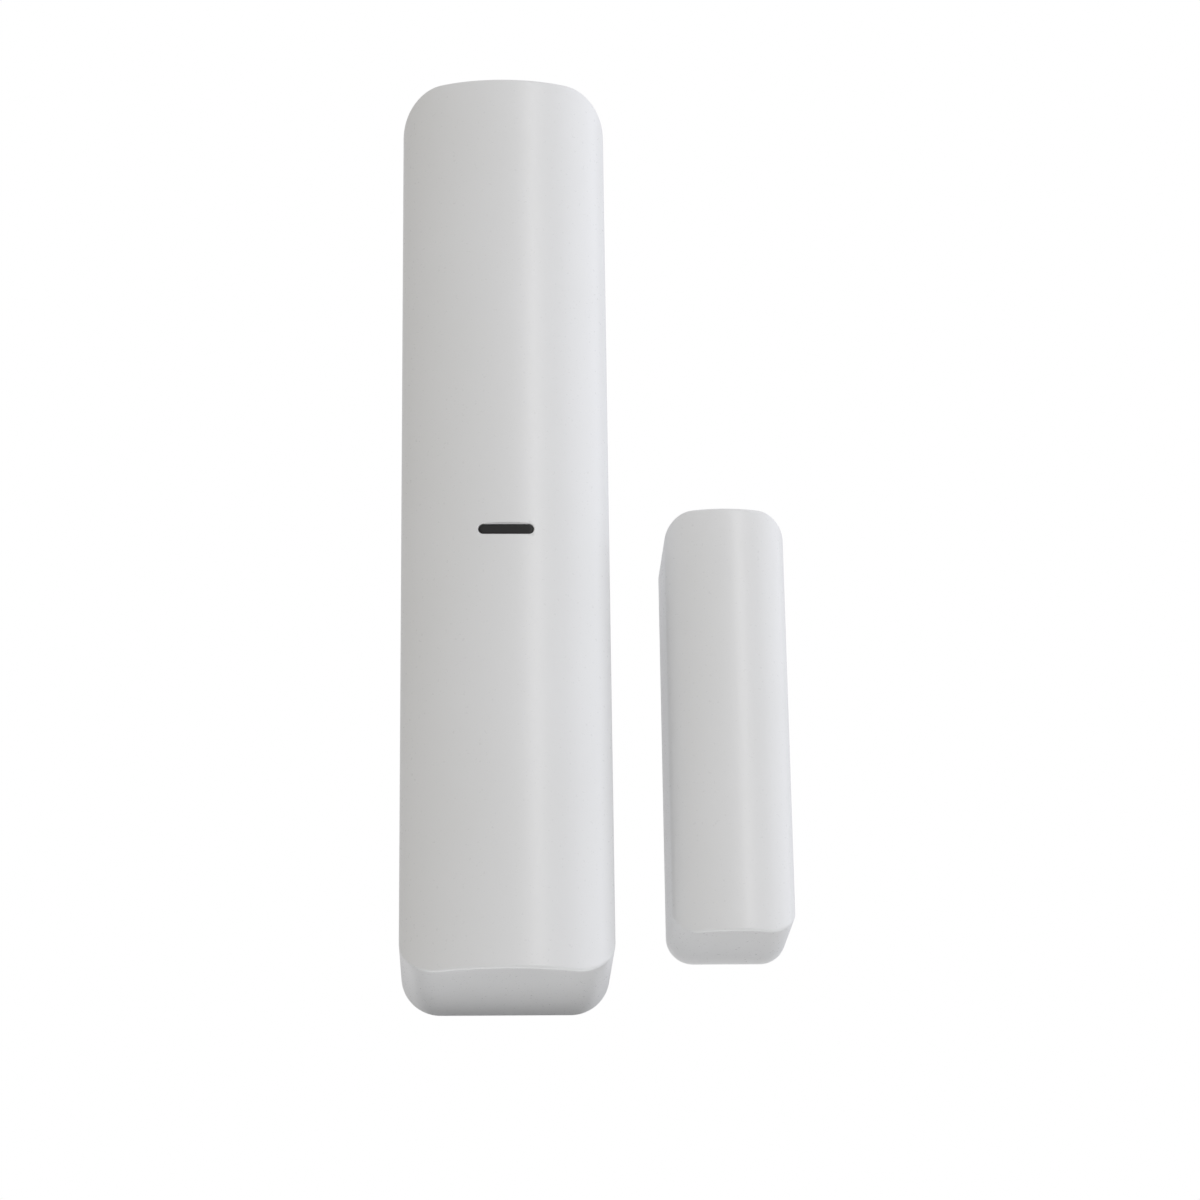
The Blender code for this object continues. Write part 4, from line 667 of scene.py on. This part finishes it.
REED_WIRE = 0.25 * MM
REED_TUBE = [(0.3, -6.0), (0.7, -5.8), (1.1, -5.1), (1.1, 5.1), (0.7, 5.8), (0.3, 6.0)]
REED_BORE = [(0.27, 5.0), (0.65, 4.4), (0.65, -4.4), (0.27, -5.0)]
glass_wall = rounded(REED_TUBE, 0.35) + rounded(REED_BORE, 0.3)
for label in ("lower", "upper"):
    centre = middle("reed_glass_" + label)
    tube = lathed("reed_tube_" + label, glass_wall, centre, (0, 0, 1), reed_glass, sharp=60)
    set_in(tube, "detector", "reed_glass", "reed_glass_" + label)
    for end, sign in (("top", 1), ("bottom", -1)):
        node = f"reed_lead_{label}_{end}"
        lap, axis_y = 0.28 * MM * sign, centre.y
        path = [
            (centre.x, axis_y - lap, centre.z - sign * 0.8 * MM),
            (centre.x, axis_y - lap, centre.z + sign * 1.6 * MM),
            (centre.x, axis_y, centre.z + sign * 3.2 * MM),
            (centre.x, axis_y, centre.z + sign * 7.5 * MM),
            (centre.x, axis_y + 0.5 * MM, centre.z + sign * 7.8 * MM),
            (centre.x, -BOARD_FACE - 0.05 * MM, centre.z + sign * 7.8 * MM),
        ]
        blade = wire("reed_blade_" + label + "_" + end, rounded(path, 0.5 * MM), REED_WIRE, nickel)
        set_in(blade, "detector", "nickel_plate", node)

# ----------
# Antenna. Seven turns of bare copper wire, wound on a mandrel, with a straight tail that is soldered to the
# board at its foot.

# Copper wire gives the eye a warm orange metal, a little dulled where fingers touched it.
copper = plated("bare_copper", ("#b0683f", "#d28d63"), 0.22, 0.3 * MM, 0.002 * MM)


def coil(centre, axis, across, radii, length, turns, per_turn=40):
    """Points of a coil that climbs along its axis, from its first point in the direction across."""
    other = axis.cross(across)
    count = int(turns * per_turn)
    points = []
    for step in range(count + 1):
        share = step / count
        angle = 2 * math.pi * turns * share
        radius = radii[0] + (radii[1] - radii[0]) * share
        out = math.cos(angle) * across + math.sin(angle) * other
        points.append(centre + radius * out + axis * length * share)
    return points


UP, OUT, ACROSS = Vector((0, 0, 1)), Vector((0, -1, 0)), Vector((1, 0, 0))
antenna_low, antenna_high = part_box("antenna_coil")
wire_half = 0.3 * MM
coil_radius = 2.0 * MM
coil_x = antenna_low.x + wire_half + coil_radius
coil_y = antenna_low.y + wire_half + coil_radius
coil_foot = 28.8 * MM
coil_length = antenna_high.z - wire_half - coil_foot
foot = Vector((coil_x, coil_y, coil_foot))
winding = coil(foot, UP, -OUT, (coil_radius, coil_radius), coil_length, turns=7)
tail = [
    Vector((coil_x, -BOARD_FACE - 0.35 * MM, coil_foot - 4.0 * MM)),
    Vector((coil_x, -BOARD_FACE - 0.65 * MM, coil_foot - 0.6 * MM)),
]
antenna = wire("antenna_winding", tail + winding, wire_half, copper)
set_in(antenna, "detector", "copper_wire", "antenna_coil")

# ----------
# Terminal block. A green polyamide housing for a second, wired contact: two round entries in its top side,
# and a zinc-plated cheese-head clamp screw down each well.

# Green polyamide gives the eye a deep, slightly waxy green.
terminal_green = moulded("green_polyamide", ("#1c7a3e", "#218a48"), 0.42, 0.2 * MM, 0.004 * MM)

eased("terminal_housing", "terminal_block", 0.1 * MM, terminal_green, "detector", "terminal_green")
CLAMP_HEAD = [(0, 0.72), (1.0, 0.72), (1.1, 0.6), (1.1, -0.2), (0.6, -0.3), (0.6, -0.72), (0, -0.72)]
for label, groove_angle in (("left", 0.5), ("right", -0.3)):
    node = "terminal_screw_" + label
    centre = middle(node)
    clamp = lathed("clamp_screw_" + label, rounded(CLAMP_HEAD, 0.1), centre, (0, -1, 0), nickel)
    groove = bmesh.new()
    face = -centre.y + CLAMP_HEAD[0][1] * MM
    sunk = (face - 0.42 * MM, face + 0.4 * MM)
    slab(groove, about(centre.x, 1.3 * MM), sunk, about(centre.z, 0.16 * MM), 0.02 * MM, 0.01 * MM)
    bmesh.ops.rotate(groove, cent=centre, matrix=Matrix.Rotation(groove_angle, 4, "Y"), verts=groove.verts)
    carved(clamp, groove)
    set_in(clamp, "detector", "nickel_plate", node)

# ----------
# Tamper and power switches. Two tact switches soldered to the back of the board: black moulded cases, each
# with a short round nub. A steel spring stands between the board and the plunger that reads the wall plate.

for name, node in (("tamper_tact_switch", "tamper_switch"), ("power_tact_switch", "power_switch")):
    eased(name, node, 0.08 * MM, epoxy, "detector", "black_epoxy")

# Spring steel gives the eye a thin bright wire with a faint blue cast.
spring_steel = plated("plated_spring_steel", ("#a9adb3", "#c6c9cd"), 0.22, 0.2 * MM, 0.001 * MM)

low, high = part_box("tamper_spring")
plunger_z = middle("tamper_plunger").z
spring_wire = 0.15 * MM
spring_radius = 1.65 * MM
on_flange = Vector((middle("tamper_plunger").x, high.y - spring_wire, plunger_z))
spring_length = high.y - low.y - 2 * spring_wire
spring_path = coil(on_flange, OUT, ACROSS, (spring_radius, spring_radius), spring_length, turns=2.5)
tamper_spring = wire("tamper_spring_wire", spring_path, spring_wire, spring_steel)
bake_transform(tamper_spring)
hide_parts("tamper_spring")

# ----------
# Cell. A round lithium cell: a deep-drawn steel can, packed with its filling, closed by a gasket and a
# pressed cap, and wrapped in a shrink sleeve whose ends curl over the can.

BATTERY_DEPTH = 10.8 * MM
CELL_AXIS = (0, -BATTERY_DEPTH, 0)


def lathe(name, profile, radius, finish, slot, node):
    """A piece of the cell, turned about the cell's axis."""
    part = lathed(name, rounded(profile, radius), CELL_AXIS, (0, 0, 1), finish, steps=72)
    set_in(part, "detector", slot, node)


steel_cup = [(0, -40.0), (7.9, -40.0), (7.9, -7.2), (7.9, -7.1), (8.2, -7.1), (8.2, -40.3)]
steel_cup += [(4.0, -40.3), (3.8, -40.15), (0, -40.15)]
lathe("cell_can", steel_cup, 0.2, nickel, "nickel_plate", "battery_can")

# The filling gives the eye a matt black crumbled cake. It stays the CAD part, since none of it shows.
paste_tones = ("#141416", "#2c2c2f")
paste = clouded("manganese_paste", paste_tones, 0.6 * MM, 0.6 * MM, (0.8, 0.95), 0.1 * MM, {})
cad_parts["battery_core"].material_slots[0].material = paste

pressed_cap = [(0, -5.8), (2.9, -5.8), (3.2, -6.1), (3.25, -7.15), (5.0, -7.2), (5.0, -8.1), (0, -8.1)]
lathe("cell_cap", pressed_cap, 0.25, nickel, "nickel_plate", "battery_cap")

# Black PVC gives the eye a soft black with a greasy half gloss.
black_pvc = moulded("soft_black_pvc", ("#17171a", "#222226"), 0.45, 0.25 * MM, 0.006 * MM)
gasket_ring = [(5.1, -8.1), (5.1, -7.15), (5.5, -7.1), (7.4, -7.1), (7.8, -7.2), (7.8, -8.1)]
lathe("cell_gasket", gasket_ring, 0.12, black_pvc, "black_pvc", "battery_gasket")

# Shrink film gives the eye a glossy blue label with one silver band, and soft waves in its highlight.
film_tones = ("#1c3f86", "#24509f")
film_coat = {"Coat Weight": 0.3}
sleeve_film = clouded("printed_shrink_film", film_tones, 5 * MM, 5 * MM, (0.22, 0.34), 0.07 * MM, film_coat)
BAND_FOOT, BAND_HEAD = -12.6 * MM, -10.4 * MM
tree = sleeve_film.node_tree
place = add(tree, "ShaderNodeTexCoord", give="Object")
sleeve_z = add(tree, "ShaderNodeSeparateXYZ", {"Vector": place}, give="Z")
over = add(tree, "ShaderNodeMath", {0: sleeve_z, 1: BAND_FOOT}, operation="GREATER_THAN")
under = add(tree, "ShaderNodeMath", {0: sleeve_z, 1: BAND_HEAD}, operation="LESS_THAN")
silver = add(tree, "ShaderNodeMath", {0: over, 1: under}, operation="MULTIPLY")
inked(sleeve_film, silver, "#b9bdc4")
film_tube = [(8.3, -40.1), (8.5, -40.0), (8.5, -7.1), (8.3, -6.9), (8.28, -6.95), (8.28, -40.0)]
lathe("cell_sleeve", film_tube, 0.12, sleeve_film, "battery_wrap", "battery_sleeve")

# ----------
# Battery contacts. Two plates blanked and bent from nickel-plated spring strip, a conical spring at the
# foot, and an insulated lead that takes the foot contact's current up behind the board.

for pole in ("positive", "negative"):
    node = "battery_contact_" + pole
    eased("contact_plate_" + pole, node, 0.05 * MM, nickel, "detector", "nickel_plate")

low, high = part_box("battery_spring")
spring_wire = 0.3 * MM
seat = Vector((0, -BATTERY_DEPTH, low.z + spring_wire))
cone = coil(seat, UP, ACROSS, (4.6 * MM, 2.2 * MM), high.z - low.z - 2 * spring_wire, turns=2.5)
cell_spring = wire("cell_spring", cone, spring_wire, spring_steel)
set_in(cell_spring, "detector", "nickel_plate", "battery_spring")

low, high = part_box("battery_lead")
lead_wire = 0.4 * MM
lead_x, lead_y = low.x + lead_wire, high.y - lead_wire
lead_path = [
    (lead_x, lead_y, low.z),
    (lead_x, lead_y, high.z - 3.2 * lead_wire),
    (lead_x, lead_y - lead_wire, high.z - lead_wire),
    (lead_x + lead_wire, -7.95 * MM, high.z - lead_wire),
]
cell_lead = wire("cell_lead", rounded(lead_path, 0.6 * MM), lead_wire, black_pvc)
set_in(cell_lead, "detector", "black_pvc", "battery_lead")

# ----------
# Tamper plunger and power button. The plunger is turned down from a flange, white, and rests on the wall
# plate. The button is a soft grey silicone cap that a finger presses through the chassis when the detector
# is off the wall.

eased("tamper_pin", "tamper_plunger", 0.1 * MM, white_abs, "tamper", "white_abs")

# Silicone gives the eye a matt mid grey that swallows highlights.
silicone = moulded("grey_silicone_rubber", ("#6a6b6d", "#747577"), 0.68, 0.15 * MM, 0.004 * MM)
eased("button_cap", "power_button", 0.15 * MM, silicone, "button", "grey_silicone")

# ----------
# Front cover. A white satin ABS shell, bowed across its width and straight along its length. Its bow meets
# the flat ends in a crisp crease. The slot is cut in its front, with a collar behind it for the light guide,
# two ribs across, and four pockets that catch the bumps of the chassis.

FACETS_ACROSS = 144
WALL_ROWS = 8
ROLL_ROWS = 12
FRONT_ROWS = 16


def bow_depth(x, half_width, front, bow):
    """How far out a bowed front stands at x."""
    return front - bow + bow * math.sqrt(max(1 - (x / half_width) ** 2, 0))


def bowed_skin(work, centre, half_width, half_length, front, bow, corner, roll, rim, levels):
    """One skin of a bowed cover, open at its back, with a row of points at each level of its half length.

    It returns the open border's points in order.
    """

    def point(x, depth, z):
        return work.verts.new((centre[0] + x, -depth, centre[1] + z))

    columns = []
    for i in range(FACETS_ACROSS + 1):
        turn = math.pi * i / FACETS_ACROSS
        x = -half_width * math.cos(turn)
        crest = bow_depth(x, half_width, front, bow)
        edge = roll * min(1.0, 2.0 * math.sin(turn))
        reach = max(abs(x) - (half_width - corner), 0)
        end = half_length - corner + math.sqrt(max(corner**2 - reach**2, 0))
        half = [(rim + (crest - edge - rim) * k / WALL_ROWS, end) for k in range(WALL_ROWS)]
        for k in range(ROLL_ROWS + 1):
            swing = math.pi / 2 * k / ROLL_ROWS
            half.append((crest - edge + edge * math.sin(swing), end - edge + edge * math.cos(swing)))
        section = [(depth, -z) for depth, z in half]
        flat = end - edge
        section += [(crest, flat * level) for level in levels[1:-1]]
        section += reversed(half)
        columns.append([point(x, depth, z) for depth, z in section])
    for left, right in zip(columns, columns[1:]):
        for k in range(len(left) - 1):
            work.faces.new((left[k], right[k], right[k + 1], left[k + 1]))
    sides = []
    straight = half_length - corner
    for x in (-half_width, half_width):
        grid = []
        for k in range(WALL_ROWS + 1):
            depth = rim + (front - bow - rim) * k / WALL_ROWS
            grid.append([point(x, depth, straight * level) for level in levels])
        for low, high in zip(grid, grid[1:]):
            for j in range(len(levels) - 1):
                work.faces.new((low[j], low[j + 1], high[j + 1], high[j]))
        sides.append(grid[0])
    border = [column[0] for column in columns] + sides[1][1:-1]
    border += [column[-1] for column in reversed(columns)] + list(reversed(sides[0][1:-1]))
    return border


def bowed_cover(name, centre, width, length, front, bow, corner, finish, marks=()):
    """A bowed cover of even wall, closed round its rim, with more rows of points at marks on its length."""
    wall, rim = 1.2 * MM, 0.9 * MM
    levels = sorted([2 * j / FRONT_ROWS - 1 for j in range(FRONT_ROWS + 1)] + [2 * z / length for z in marks])
    work = bmesh.new()
    outer = bowed_skin(work, centre, width / 2, length / 2, front, bow, corner, 0.3 * MM, rim, levels)
    sizes = (width / 2 - wall, length / 2 - wall, front - wall, bow - wall, corner - wall)
    inner = bowed_skin(work, centre, *sizes, 0.3 * MM, rim, levels)
    for i in range(len(outer)):
        j = (i + 1) % len(outer)
        work.faces.new((outer[i], outer[j], inner[j], inner[i]))
    bmesh.ops.remove_doubles(work, verts=work.verts, dist=0.0005 * MM)
    return settle(name, work, finish, sharp=12)


def pill(half_x, half_z, steps=14):
    """The outline of a slot with round ends, as (x, z) points in order."""
    points = []
    for side in (1, -1):
        for step in range(steps + 1):
            angle = math.pi * (step / steps - 0.5)
            x = side * (half_x - half_z + half_z * math.cos(angle))
            points.append((x, side * half_z * math.sin(angle)))
    return points


COVER = {"width": 20 * MM, "length": 90 * MM, "front": 20.7 * MM, "bow": 6 * MM, "corner": 3.8 * MM}
SLOT_Z = middle("indicator_led").z - 0.18 * MM
SLOT_HALF = (2.64 * MM, 0.5 * MM)
marks = [SLOT_Z + offset * MM for offset in (-1.6, -0.8, -0.4, 0.4, 0.8, 1.6)]
cover = bowed_cover("front_shell", (0, 0), finish=white_abs, marks=marks, **COVER)


def slot_ring(half, grown, out):
    """The outline of a slot, grown and laid out from the cover's bow by those millimetres."""
    ring = []
    for x, z in pill(half[0] + grown * MM, half[1] + grown * MM):
        depth = bow_depth(x, COVER["width"] / 2, COVER["front"], COVER["bow"]) + out * MM
        ring.append((x, -depth, SLOT_Z + z))
    return ring


SLOT_FLARE = ((-2.2, 0.0), (-0.16, 0.0), (-0.07, 0.01), (-0.02, 0.05), (0.0, 0.1), (0.6, 0.1))
opening = bmesh.new()
stack(opening, [slot_ring(SLOT_HALF, flare, out) for out, flare in SLOT_FLARE])
for z in (24 * MM, -14 * MM):
    for side in (-1, 1):
        pocket_x = sorted((side * 8.6 * MM, side * 9.15 * MM))
        slab(opening, pocket_x, (5.0 * MM, 6.2 * MM), about(z, 2.3 * MM), 0.1 * MM, 0.05 * MM)
carved(cover, opening)

work = bmesh.new()
work.from_mesh(cover.data)
for z in (12 * MM, 27 * MM):
    slab(work, about(0, 4.4 * MM), (18.0 * MM, 19.6 * MM), about(z, 0.4 * MM), 0.1 * MM, 0.1 * MM)
for side in (-1, 1):
    across = sorted((side * 3.9 * MM, side * 4.8 * MM))
    slab(work, across, (16.7 * MM, 18.9 * MM), about(SLOT_Z, 2.4 * MM), 0.2 * MM, 0.1 * MM)
    along = sorted((SLOT_Z + side * 1.5 * MM, SLOT_Z + side * 2.4 * MM))
    slab(work, about(0, 4.5 * MM), (16.7 * MM, 19.7 * MM), along, 0.2 * MM, 0.1 * MM)
shell = settle("front_cover_shell", work, white_abs, sharp=12)
bpy.data.objects.remove(cover)
set_in(shell, "cover", "white_abs", "front_cover")

# ----------
# Light guide. Smoked polycarbonate pressed into the collar: a head that fills the slot and follows the bow,
# a flange that seats it, and a stem that reaches down to the lamp.

# Smoked polycarbonate gives the eye a flat charcoal window with almost no shine, finely frosted on its face.
smoke = {"IOR": 1.58, "Specular IOR Level": 0.36}
smoke_tones, frost = ("#0c0c0c", "#121212"), 0.2 * MM
smoked_window = clouded("smoked_polycarbonate", smoke_tones, frost, frost, (0.42, 0.5), 0.003 * MM, smoke)
HEAD_HALF = (2.61 * MM, 0.47 * MM)
HEAD_SINK = 0.1
HEAD_EASE = ((-1.0, 0.0), (-0.06, 0.0), (-0.02, 0.02), (0.0, 0.07), (0.0, 0.2), (0.0, 0.33))
rings = [slot_ring(HEAD_HALF, -inset, out - HEAD_SINK) for out, inset in HEAD_EASE]
head_back = [(x, -18.7 * MM, z) for x, y, z in rings[0]]
work = bmesh.new()
stack(work, [head_back] + rings)
slab(work, about(0, 3.6 * MM), (17.9 * MM, 18.8 * MM), about(SLOT_Z, 1.2 * MM), 0.3 * MM, 0.08 * MM)
slab(work, about(0, 1.6 * MM), (10.25 * MM, 18.0 * MM), about(SLOT_Z, 0.8 * MM), 0.25 * MM, 0.1 * MM)
guide = settle("smoked_light_guide", work, smoked_window)
set_in(guide, "cover", "smoked_lens", "light_guide")

# ----------
# Magnet unit. A short white shell of the same bow clips over a grey carrier, which nests a bar magnet and
# slides on the hooks of its own small wall plate.

eased("door_plate", "magnet_bracket", 0.12 * MM, white_abs, "door_side", "white_abs")
eased("bar_carrier", "magnet_carrier", 0.1 * MM, grey_abs, "magnet_holder", "grey_abs")

# Plated ferrite gives the eye a dark silver bar, ground along its length, with worn bright edges.
bar_plate = plated("ground_magnet_plate", ("#8a8b8d", "#a7a8aa"), 0.28, 0.4 * MM, 0.003 * MM, (6, 6, 1))
magnet_bar = pressed("magnet_bar", limits("bar_magnet"), 0.5 * MM, 0.35 * MM, bar_plate)
set_in(magnet_bar, "magnet_holder", "magnet_nickel", "bar_magnet")

(left, right), (rim, front), (low, high) = limits("magnet_cover")
magnet_centre = ((left + right) / 2, (low + high) / 2)
magnet_sizes = (right - left, high - low, front, 3.2 * MM, 2.6 * MM)
magnet_shell = bowed_cover("magnet_shell", magnet_centre, *magnet_sizes, white_abs)
set_in(magnet_shell, "magnet_front", "white_abs", "magnet_cover")

# ----------
# Studio. A pale floor, a white surround that is a little cooler and brighter on the right, and three soft
# boxes: a wide one on the right, a narrow one high in front that lights the crease, and a weak one below and
# behind. The camera stands low and looks up at the pair.

FLOOR_Z = -0.2
FLOOR_HALF = 1.5
SURROUND_STRENGTH = 0.97
SURROUND_LEAN = (0.22, 0.1, 0.03)  # the way from the surround's dim side to its bright side


def stand(name, corners, finish):
    """A flat sheet of the studio, with four corners to each face, which is no part of the object."""
    mesh = bpy.data.meshes.new(name)
    mesh.from_pydata(corners, [], [range(first, first + 4) for first in range(0, len(corners), 4)])
    mesh.materials.append(finish)
    sheet = shown(name, mesh)
    return sheet


# Floor paint gives the eye a matt, pale and even ground.
matt = {"Specular IOR Level": 0.2}
floor_tones = ("#f2f2f1", "#f8f8f7")
floor_paint = clouded("pale_floor_paint", floor_tones, 0.15, 2 * MM, (0.88, 0.92), 0.01 * MM, matt)
square = ((-1, -1), (1, -1), (1, 1), (-1, 1))
floor_corners = [(x * FLOOR_HALF, y * FLOOR_HALF, FLOOR_Z) for x, y in square]
stand("studio_floor", floor_corners, floor_paint)

surround = bpy.data.worlds.new("white_surround")
surround.use_nodes = True
bpy.context.scene.world = surround
sky = surround.node_tree
sky.nodes.clear()
seen = add(sky, "ShaderNodeLightPath")
way = add(sky, "ShaderNodeTexCoord")
inputs = {0: way, 1: Vector(SURROUND_LEAN).normalized()}
along = add(sky, "ShaderNodeVectorMath", inputs, operation="DOT_PRODUCT", give="Value")
inputs = {"Value": along, "From Min": -1.0, "From Max": 1.0}
share = add(sky, "ShaderNodeMapRange", inputs)
inputs = {0: share, 6: linear("#bcb9b3"), 7: linear("#e2e4ea")}
glow = add(sky, "ShaderNodeMix", inputs, data_type="RGBA", give=2)
fill = add(sky, "ShaderNodeBackground", {"Color": glow, "Strength": SURROUND_STRENGTH})
white = add(sky, "ShaderNodeBackground", {"Color": (1, 1, 1, 1), "Strength": 1.0})
either = add(sky, "ShaderNodeMixShader", {0: seen, 1: fill, 2: white})
add(sky, "ShaderNodeOutputWorld", {"Surface": either})


def soft_box(name, place, aim, size, watts, tint):
    """A soft box at that place, turned to face its aim."""
    lamp_data = bpy.data.lights.new(name, "AREA")
    lamp_data.shape = "RECTANGLE"
    lamp_data.size, lamp_data.size_y = size
    lamp_data.energy = watts
    lamp_data.color = linear(tint)[:3]
    box = shown(name, lamp_data)
    box.location = place
    box.rotation_euler = (Vector(aim) - Vector(place)).to_track_quat("-Z", "Y").to_euler()


soft_box("side_box", (0.36, -0.08, 0.2), (0.01, 0, 0.01), (0.42, 0.4), 0.56, "#f3f6ff")
soft_box("strip_box", (0.205, -0.56, 0.21), (0, 0, 0), (0.022, 0.36), 0.45, "#ffffff")
soft_box("low_box", (0.01, 0.055, -0.19), (0.01, 0, 0), (0.35, 0.16), 0.12, "#ffffff")

# A small black flag hangs under the pair at the wall plane, out of the camera's sight. It keeps light off
# the backs of the lower ends, as the wall they hang on does.
black_felt = clouded("black_felt", ("#050505", "#0c0c0c"), 0.5 * MM, 0.5 * MM, (0.95, 1.0), 0.05 * MM, {})
FLAG_Y = 0.4 * MM
FLAG_FOOT = -57
flag_corners = []
for left, right, top in ((-35, 12.5, -45.2), (12.5, 50, -44)):
    corners_xz = ((left, FLAG_FOOT), (right, FLAG_FOOT), (right, top), (left, top))
    flag_corners += [(x * MM, FLAG_Y, z * MM) for x, z in corners_xz]
stand("black_flag", flag_corners, black_felt).visible_camera = False

# The camera is about a third of a metre away and 116 mm below the detector's middle, on a lens of 102 mm.
CAMERA_PLACE = (-3.92 * MM, -321.9 * MM, -116.25 * MM)
CAMERA_TURN = math.radians(2.414)
CAMERA_TILT = math.radians(19.449)
CAMERA_ROLL = math.radians(0.837)
camera_data = bpy.data.cameras.new("low_camera")
camera_data.lens = 102.22
camera_data.clip_start = 0.01
camera = shown("low_camera", camera_data)
facing = Matrix.Rotation(-CAMERA_TURN, 4, "Z") @ Matrix.Rotation(math.pi / 2 + CAMERA_TILT, 4, "X")
camera.matrix_world = Matrix.Translation(CAMERA_PLACE) @ facing @ Matrix.Rotation(-CAMERA_ROLL, 4, "Z")
bpy.context.scene.camera = camera
bpy.context.scene.view_settings.view_transform = "Standard"

bpy.context.view_layer.update()
